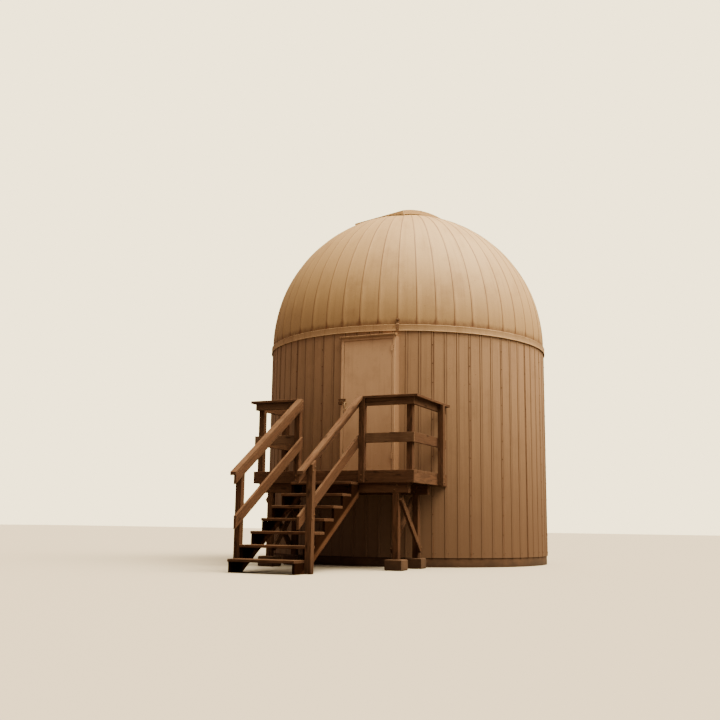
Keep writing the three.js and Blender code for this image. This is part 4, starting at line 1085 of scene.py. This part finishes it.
def board(shape, low, high, along, dice, pale=0.1, ease=0.003):
    """A straight piece of timber between two corners, with its grain along the axis of that number."""
    low, size = Vector(low), [high[number] - low[number] for number in range(3)]
    thin, wide = sorted((number for number in range(3) if number != along), key=size.__getitem__)
    corners = []
    for on_grain, on_wide in ((0, 0), (1, 0), (1, 1), (0, 1)):
        corner = low.copy()
        corner[along] += size[along] * on_grain
        corner[wide] += size[wide] * on_wide
        corners.append(corner)
    through, direction = Vector(), Vector()
    through[thin], direction[along] = size[thin], 1
    timber(shape, corners, through, direction, dice, pale, ease)


def side_cut(shape, outline, left, right, along, dice, pale=0.1, ease=0.003):
    """A piece of timber cut to an outline of (Y, Z) and carried across in X."""
    timber(shape, flat(outline, X, left), rightward * (right - left), along, dice, pale, ease)


def bolt(shape, spot, outward):
    """One of the deck's bolts: a hex head on a wide washer."""
    hex_head(shape, spot, outward, bolt_head, bolt_washer, 14)


dice = random.Random(31)
bolts = bmesh.new()
for side, outer in (("left", -1), ("right", 1)):
    leg_left = leg_lefts[side]
    for place in ("front", "rear"):
        footing = f"footing_block_{place}_{side}"
        low, high = own_box(footing)
        corners = [(low.x, low.y), (high.x, low.y), (high.x, high.y), (low.x, high.y)]
        shape = bmesh.new()
        slab(shape, flat(corners, Z, 0), upward * high.z, 0.011)
        piece(f"block_{place}_{side}", shape, "building", concrete, [footing])
    shape = lumber()
    for front in leg_rows:
        low, high = (leg_left, front, leg_low), (leg_left + post, front + post, leg_top)
        board(shape, low, high, Z, dice, ease=0.005)
        for level in (0.03, 0.09):
            x = leg_left + post / 2 + (level - 0.06) * 0.6
            bolt(bolts, Vector((x, front + 0.006, leg_top + 0.01 + level)), -backward)
    middles = [front + post / 2 for front in leg_rows]
    for way, first, last in ((outer, brace_top, brace_foot), (-outer, brace_foot, brace_top)):
        face = leg_left + (post if way > 0 else 0)
        start, end = Vector((face, middles[0], first)), Vector((face, middles[1], last))
        along = (end - start).normalized()
        square = Vector((0, -along.z, along.y))
        aside = square * post / 2
        corners = [start - aside, end - aside, end + aside, start + aside]
        timber(shape, corners, rightward * way * plank, along, dice, 0.35)
        for middle, inward in ((start, along), (end, -along)):
            for step in (-0.02, 0.02):
                spot = middle + inward * (brace_bolt + step * 0.6) + square * step
                bolt(bolts, spot + rightward * way * plank, rightward * way)
    piece(f"legs_{side}", shape, "building", timber_stain, [f"deck_legs_{side}"])

for place in ("front", "rear"):
    low, high = own_box(f"deck_beam_{place}")
    shape = lumber()
    board(shape, low, (high.x, low.y + plank, high.z), X, dice)
    board(shape, (low.x, high.y - plank, low.z), high, X, dice)
    piece(f"beam_{place}", shape, "building", timber_stain, [f"deck_beam_{place}"])

# The deck is a frame of joists between rims, open below, with its back rim sawn to the wall's curve.
# The boards lie along it, five inches and a half wide with narrow gaps, and are nailed to each joist.
deck_low, deck_high = own_box("deck_floor")
deck_left, deck_right, deck_front = deck_low.x, deck_high.x, deck_low.y
joist_low, joist_high = (corner.z for corner in own_box("deck_frame"))
wide_board, touch = 0.14, 0.0003
back_radius, rim_steps, curve_steps = 2.443, 40, 12
bay_count, board_gap = 6, 0.005
nail, nail_inset, nail_stray, rim_nails = (0.0045, 0.0012), 0.025, 0.004, (0.035, 0.07, 0.105)
bay_pitch = (deck_right - deck_left - plank) / bay_count
joist_lefts = [deck_left + number * bay_pitch for number in range(bay_count + 1)]


def on_circle(radius, x):
    """The point of a circle round the axis at that X, on the front side, as (X, Y)."""
    return x, -math.sqrt(radius**2 - x**2)


shape = lumber()
corner = (deck_right, deck_front + plank, joist_high)
board(shape, (deck_left, deck_front, joist_low), corner, X, dice, ease=0.002)
rise = upward * (joist_high - joist_low)
for left in joist_lefts:
    right, front, reach = left + plank, deck_front + plank + touch, back_radius + plank + 0.0005
    outline = [(left, front), (right, front), on_circle(reach, right), on_circle(reach, left)]
    timber(shape, flat(outline, Z, joist_low), rise, backward, dice, ease=0.002)
    for level in rim_nails:
        button(bolts, Vector((left + plank / 2, deck_front, joist_low + level)), -backward, *nail)
rim_x = [deck_left + (deck_right - deck_left) * step / rim_steps for step in range(rim_steps + 1)]
rim = [on_circle(back_radius + plank, x) for x in rim_x]
rim += [on_circle(back_radius, x) for x in reversed(rim_x)]
timber(shape, flat(rim, Z, joist_low), rise, rightward, dice, ease=0.001)
piece("joists", shape, "building", timber_stain, ["deck_frame"])


def deck_run(front, back):
    """The outlines of the boards between two Y values, cut round the wall."""
    taken = [math.sqrt(max(0, back_radius**2 - y**2)) for y in (front, back)]
    if back <= -back_radius:
        return [[(deck_left, front), (deck_right, front), (deck_right, back), (deck_left, back)]]
    if front <= -back_radius:
        shares = [1 - step / curve_steps for step in range(2 * curve_steps + 1)]
        curve = [on_circle(back_radius, taken[1] * share) for share in shares]
        return [[(deck_left, back), (deck_left, front), (deck_right, front), (deck_right, back), *curve]]
    runs = []
    for edge in (deck_left, deck_right):
        end = min(back, on_circle(back_radius, edge)[1] - 0.001)
        if front < end - 0.02:
            wider = math.sqrt(back_radius**2 - end**2) - taken[0]
            reaches = [taken[0] + wider * step / curve_steps for step in range(curve_steps + 1)]
            curve = [on_circle(back_radius, math.copysign(reach, edge)) for reach in reaches]
            runs.append([(edge, end), (edge, front), *curve])
    return runs


shape, nails = lumber(), bmesh.new()
front = deck_front
while front < deck_high.y - 0.02:
    back = front + wide_board
    for outline in deck_run(front, back):
        timber(shape, flat(outline, Z, deck_low.z), upward * (deck_high.z - deck_low.z), rightward, dice, 0.3)
    for left in joist_lefts:
        for y in (front + nail_inset, back - nail_inset):
            if y < on_circle(back_radius + 0.01, left + plank / 2)[1]:
                x = left + plank / 2 + dice.uniform(-nail_stray, nail_stray)
                button(nails, Vector((x, y, deck_high.z)), upward, *nail)
    front = back + board_gap
piece("deck_boards", shape, "building", timber_stain, ["deck_floor"])
piece("deck_nails", nails, "building", rusty_iron)

# The stair is two notched planks with seven open treads, each of two boards nailed down. The planks' feet
# are cut level on the ground and their heads plumb against the rim. Their stain is dull, and above a band
# along the lower edge it is painted near black, a painted shade of the treads' shadow on them.
stair_left, stair_right = (corner.x for corner in own_box("stair_tread_1"))
riser_count, going, nosing, plank_depth, tread_nail_inset = 8, 0.27, 0.025, 0.286, 0.03
rise_each = deck_high.z / riser_count
steep = rise_each / going
slope = math.atan(steep)
uphill = Vector((0, math.cos(slope), math.sin(slope)))
plank_upright = plank_depth / math.cos(slope)
plank_head, plank_top = deck_front - touch, deck_high.z - plank


def nosing_at(number):
    """The Y of a tread's front edge."""
    return deck_front - (riser_count - number) * going


def plank_edge(y, top):
    """The height of a plank's lower edge at a Y, where the plank would reach top at the deck's front."""
    return (y - deck_front) * steep + (top - plank_upright)


plank_stain_painted_shade = timber_stain.copy()
plank_stain_painted_shade.name = "plank_stain_painted_shade"
surface = plank_stain_painted_shade.node_tree.nodes["Principled BSDF"].inputs
feed(surface["Specular IOR Level"], 0.0)
stained = Layer(surface["Base Color"].links[0].from_socket)
y, z = node(plank_stain_painted_shade.node_tree, "TexCoord")["Object"].parts()[1:]
# Above a band along the lower edge the planks are painted near black: a painted shade of the treads' shadow;
# the band keeps the plain stain.
over_edge, plank_painted_shade = z - plank_edge(y, joist_high), (0.009, 0.0035, 0.002)
dress(surface, mixed(eased(over_edge, 0.06, 0.11, 0.0, 0.9), stained, plank_painted_shade))

foot_of_edge = deck_front + (plank_upright - plank_top) / steep
outline = [(nosing_at(1) + nosing, 0), (foot_of_edge, 0), (plank_head, plank_edge(plank_head, plank_top))]
for number in range(riser_count - 1, 0, -1):
    seat = number * rise_each - plank - touch
    back = nosing_at(number + 1) + nosing if number < riser_count - 1 else plank_head
    outline += [(back, seat), (nosing_at(number) + nosing, seat)]
for side, left in (("left", stair_left), ("right", stair_right - plank)):
    shape = lumber()
    side_cut(shape, outline, left, left + plank, uphill, dice, 0.15, 0.0015)
    piece(f"stair_plank_{side}", shape, "building", plank_stain_painted_shade, [f"stair_stringer_{side}"])
for number in range(1, riser_count):
    low, high = own_box(f"stair_tread_{number}")
    shape = lumber()
    front = low.y
    for width in (wide_board, high.y - low.y - wide_board - board_gap):
        board(shape, (low.x, front, low.z), (high.x, front + width, high.z), X, dice, 0.2, 0.004)
        for x in (low.x + plank / 2, high.x - plank / 2):
            for y in (front + tread_nail_inset, front + width - tread_nail_inset):
                button(bolts, Vector((x, y, high.z)), upward, *nail)
        front += width + board_gap
    piece(f"tread_{number}", shape, "building", timber_stain, [f"stair_tread_{number}"])

# Each side of the stair has a guard: a square post on the ground, a flat cap down the slope, a board
# under it and a middle rail. The deck's guards have boards, middle rails and mitred caps, on posts that
# stand on the deck or outside its rim; those at the head of the stair are notched over the rim and bolted.
guard_top = own_box("deck_guard_left")[1].z
cap_front, cap_side, cap_width, cap_setback = deck_front - 0.041, 0.064, 0.089, 0.012
cap_foot, cap_foot_top, lower_post, side_post = -5.19, 1.272, -4.985, -2.387
guard_steep = (guard_top - cap_foot_top) / (cap_front - cap_foot)
guard_slope = math.atan(guard_steep)
along_guard = Vector((0, math.cos(guard_slope), math.sin(guard_slope)))
top_board, middle_drop, middle_top = 0.102, 0.588, 1.915
board_foot, middle_foot, board_head = cap_foot + 0.012, cap_foot + 0.04, deck_front - 0.005
under_cap = plank / math.cos(guard_slope) + touch
cap_bottom = guard_top - plank
post_top, over_deck = cap_bottom - touch, deck_high.z + touch
rim_bolts = (joist_low + 0.035, joist_high - 0.035)


def cap_line(y):
    """The height of a stair cap's upper face."""
    return guard_top + (y - cap_front) * guard_steep


def sloped(shape, left, right, drop, depth, foot, head, pale):
    """A board along the stair, cut plumb at both ends."""
    upright = depth / math.cos(guard_slope)
    low, high = cap_line(foot) - drop, cap_line(head) - drop
    outline = [(foot, low), (foot, low - upright), (head, high - upright), (head, high)]
    side_cut(shape, outline, left, right, along_guard, dice, pale, 0.004)


def wall_reach(first, second):
    """How far back a board between two X values may run before it meets the wall."""
    return on_circle(wall_radius + 0.001, min(abs(first), abs(second)))[1] - 0.008


def beyond(edge, outward, near, far):
    """The left and right of a piece that lies between two distances outward from an edge."""
    return sorted((edge + outward * near, edge + outward * far))


for side, outward, edge in (("left", -1, stair_left), ("right", 1, stair_right)):
    shape = lumber()
    cap_left = edge + plank - cap_width if outward < 0 else edge - plank + cap_setback
    sloped(shape, cap_left, cap_left + cap_width, 0, plank, cap_foot, cap_front - touch, 0.4)
    spots = beyond(edge, -outward, 0, plank)
    sloped(shape, *spots, under_cap, top_board, board_foot, board_head, 0.25)
    sloped(shape, *spots, middle_drop, wide_board, middle_foot, board_head, 0.25)
    back = lower_post + post
    low, high = cap_line(lower_post) - under_cap, cap_line(back) - under_cap
    outline = [(lower_post, 0), (back, 0), (back, high), (lower_post, low)]
    side_cut(shape, outline, *beyond(edge, outward, touch, post + touch), upward, dice, 0.2, 0.005)
    for drop in (0.1, 0.7):
        for off in (-0.025, 0.025):
            z = cap_line(lower_post) - drop + off
            spot = Vector((edge + outward * (post + touch), lower_post + post / 2 + off, z))
            bolt(bolts, spot, rightward * outward)
    piece(f"stair_rail_{side}", shape, "building", timber_stain, [f"stair_guard_{side}"])

levels = ((cap_bottom - top_board, post_top), (middle_top - wide_board, middle_top))
sides = (("left", -1, deck_left, stair_left), ("right", 1, deck_right, stair_right))
for side, outward, rim_at, stair_edge in sides:
    shape = lumber()
    edge = stair_edge + outward * 0.0013
    left, right = beyond(rim_at, -outward, 0, plank)
    ends = sorted((edge + outward * (post + touch), rim_at))
    front = deck_front + plank
    for low, high in levels:
        # The front boards get the full paleness: a painted light that lifts the shade under the cap.
        board(shape, (ends[0], deck_front, low), (ends[1], front, high), X, dice, 1.0)
        board(shape, (left, front + 0.001, low), (right, wall_reach(left, right), high), Y, dice, 0.3)
    far, near = rim_at + outward * cap_side, rim_at + outward * (cap_side - cap_width)
    back, cap_rear = wall_reach(near, far), cap_front + cap_width
    cap = [(edge, cap_front), (far, cap_front), (near, cap_rear), (edge, cap_rear)]
    timber(shape, flat(cap, Z, cap_bottom), upward * plank, rightward, dice, 0.4, 0.004)
    cap = [(far, cap_front + 0.001), (far, back), (near, back), (near, cap_rear + 0.001)]
    timber(shape, flat(cap, Z, cap_bottom), upward * plank, backward, dice, 0.4, 0.004)
    left, right = beyond(edge, outward, 0, post)
    outline = [(cap_front, joist_low), (plank_head, joist_low), (plank_head, over_deck)]
    outline += [(cap_front + post, over_deck), (cap_front + post, post_top), (cap_front, post_top)]
    side_cut(shape, outline, left, right, upward, dice, 0.25, 0.004)
    for level in rim_bolts:
        bolt(bolts, Vector(((left + right) / 2, cap_front, level)), -backward)
    left, right = beyond(rim_at - outward * plank, -outward, touch, post)
    front += touch
    board(shape, (left, front, over_deck), (right, front + post, post_top), Z, dice, 0.25, 0.005)
    left, right = beyond(rim_at, outward, touch, post)
    board(shape, (left, side_post, joist_low), (right, side_post + post, post_top), Z, dice, 0.25, 0.005)
    for level in rim_bolts:
        bolt(bolts, Vector((rim_at + outward * post, side_post + post / 2, level)), rightward * outward)
    piece(f"deck_rail_{side}", shape, "building", timber_stain, [f"deck_guard_{side}"])
piece("deck_bolts", bolts, "building", rusty_iron)

# The view: a pale plain floor, soft studio light and a camera at the photograph's viewing angle. The
# light is strongest from above and from the right, and the floor throws little of it back.
floor_reach, floor_level = 90.0, -0.001
floor_pale, floor_glow = (0.5, 0.49, 0.48), (0.07, 0.055, 0.04)
floor_mesh = bpy.data.meshes.new("floor")
corners = [(x * floor_reach, y * floor_reach) for x, y in ((-1, -1), (1, -1), (1, 1), (-1, 1))]
floor_mesh.from_pydata(flat(corners, Z, 0), [], [(0, 1, 2, 3)])
floor = bpy.data.objects.new("floor", floor_mesh)
floor.location = (0, 0, floor_level)
bpy.context.scene.collection.objects.link(floor)
floor_finish, surface, place = material("floor_finish", roughness=0.9)
dress(surface, mixed(node(place.tree, "LightPath")["Is Camera Ray"], floor_glow, floor_pale))
floor_mesh.materials.append(floor_finish)

light_from = Vector((0.42, 0.14, 1.0)).normalized()
light_most, light_least, light_focus = 26.0, 0.34, 9.0
light_high, light_low = (1.0, 0.78, 0.46), (1.0, 0.6, 0.43)
backdrop_colour, backdrop_strength = (1.0, 0.84, 0.5), 3.9
world = bpy.data.worlds.new("studio")
world.use_nodes = True
tree = world.node_tree
direction = node(tree, "TexCoord")["Generated"]
toward = node(tree, "VectorMath", {0: direction, 1: light_from}, operation="DOT_PRODUCT")["Value"]
toward = toward.sum("MAXIMUM", 0)
glow = toward.sum("POWER", light_focus) * light_most + light_least
tint = mixed(eased(toward, 0.0, 0.6), light_low, light_high)
light = node(tree, "Background", {"Color": tint, "Strength": glow})[0]
backdrop = node(tree, "Background", {"Color": backdrop_colour, "Strength": backdrop_strength})[0]
sky = node(tree, "MixShader", {0: node(tree, "LightPath")["Is Camera Ray"], 1: light, 2: backdrop})[0]
feed(tree.nodes["World Output"].inputs["Surface"], sky)
bpy.context.scene.world = world

eye = axis + Vector((6.1145, -15.4975, 0.6194))
yaw, pitch, roll, lens = 24.4846, 10.0621, 0.7740, 46.38
camera = bpy.data.objects.new("camera", bpy.data.cameras.new("camera"))
camera.data.lens = lens
camera.data.sensor_width = 36
camera.data.clip_end = 300
turn = Matrix.Rotation(math.radians(yaw), 4, "Z") @ Matrix.Rotation(math.radians(90 + pitch), 4, "X")
camera.matrix_world = Matrix.Translation(eye) @ turn @ Matrix.Rotation(math.radians(roll), 4, "Z")
bpy.context.scene.collection.objects.link(camera)
bpy.context.scene.camera = camera
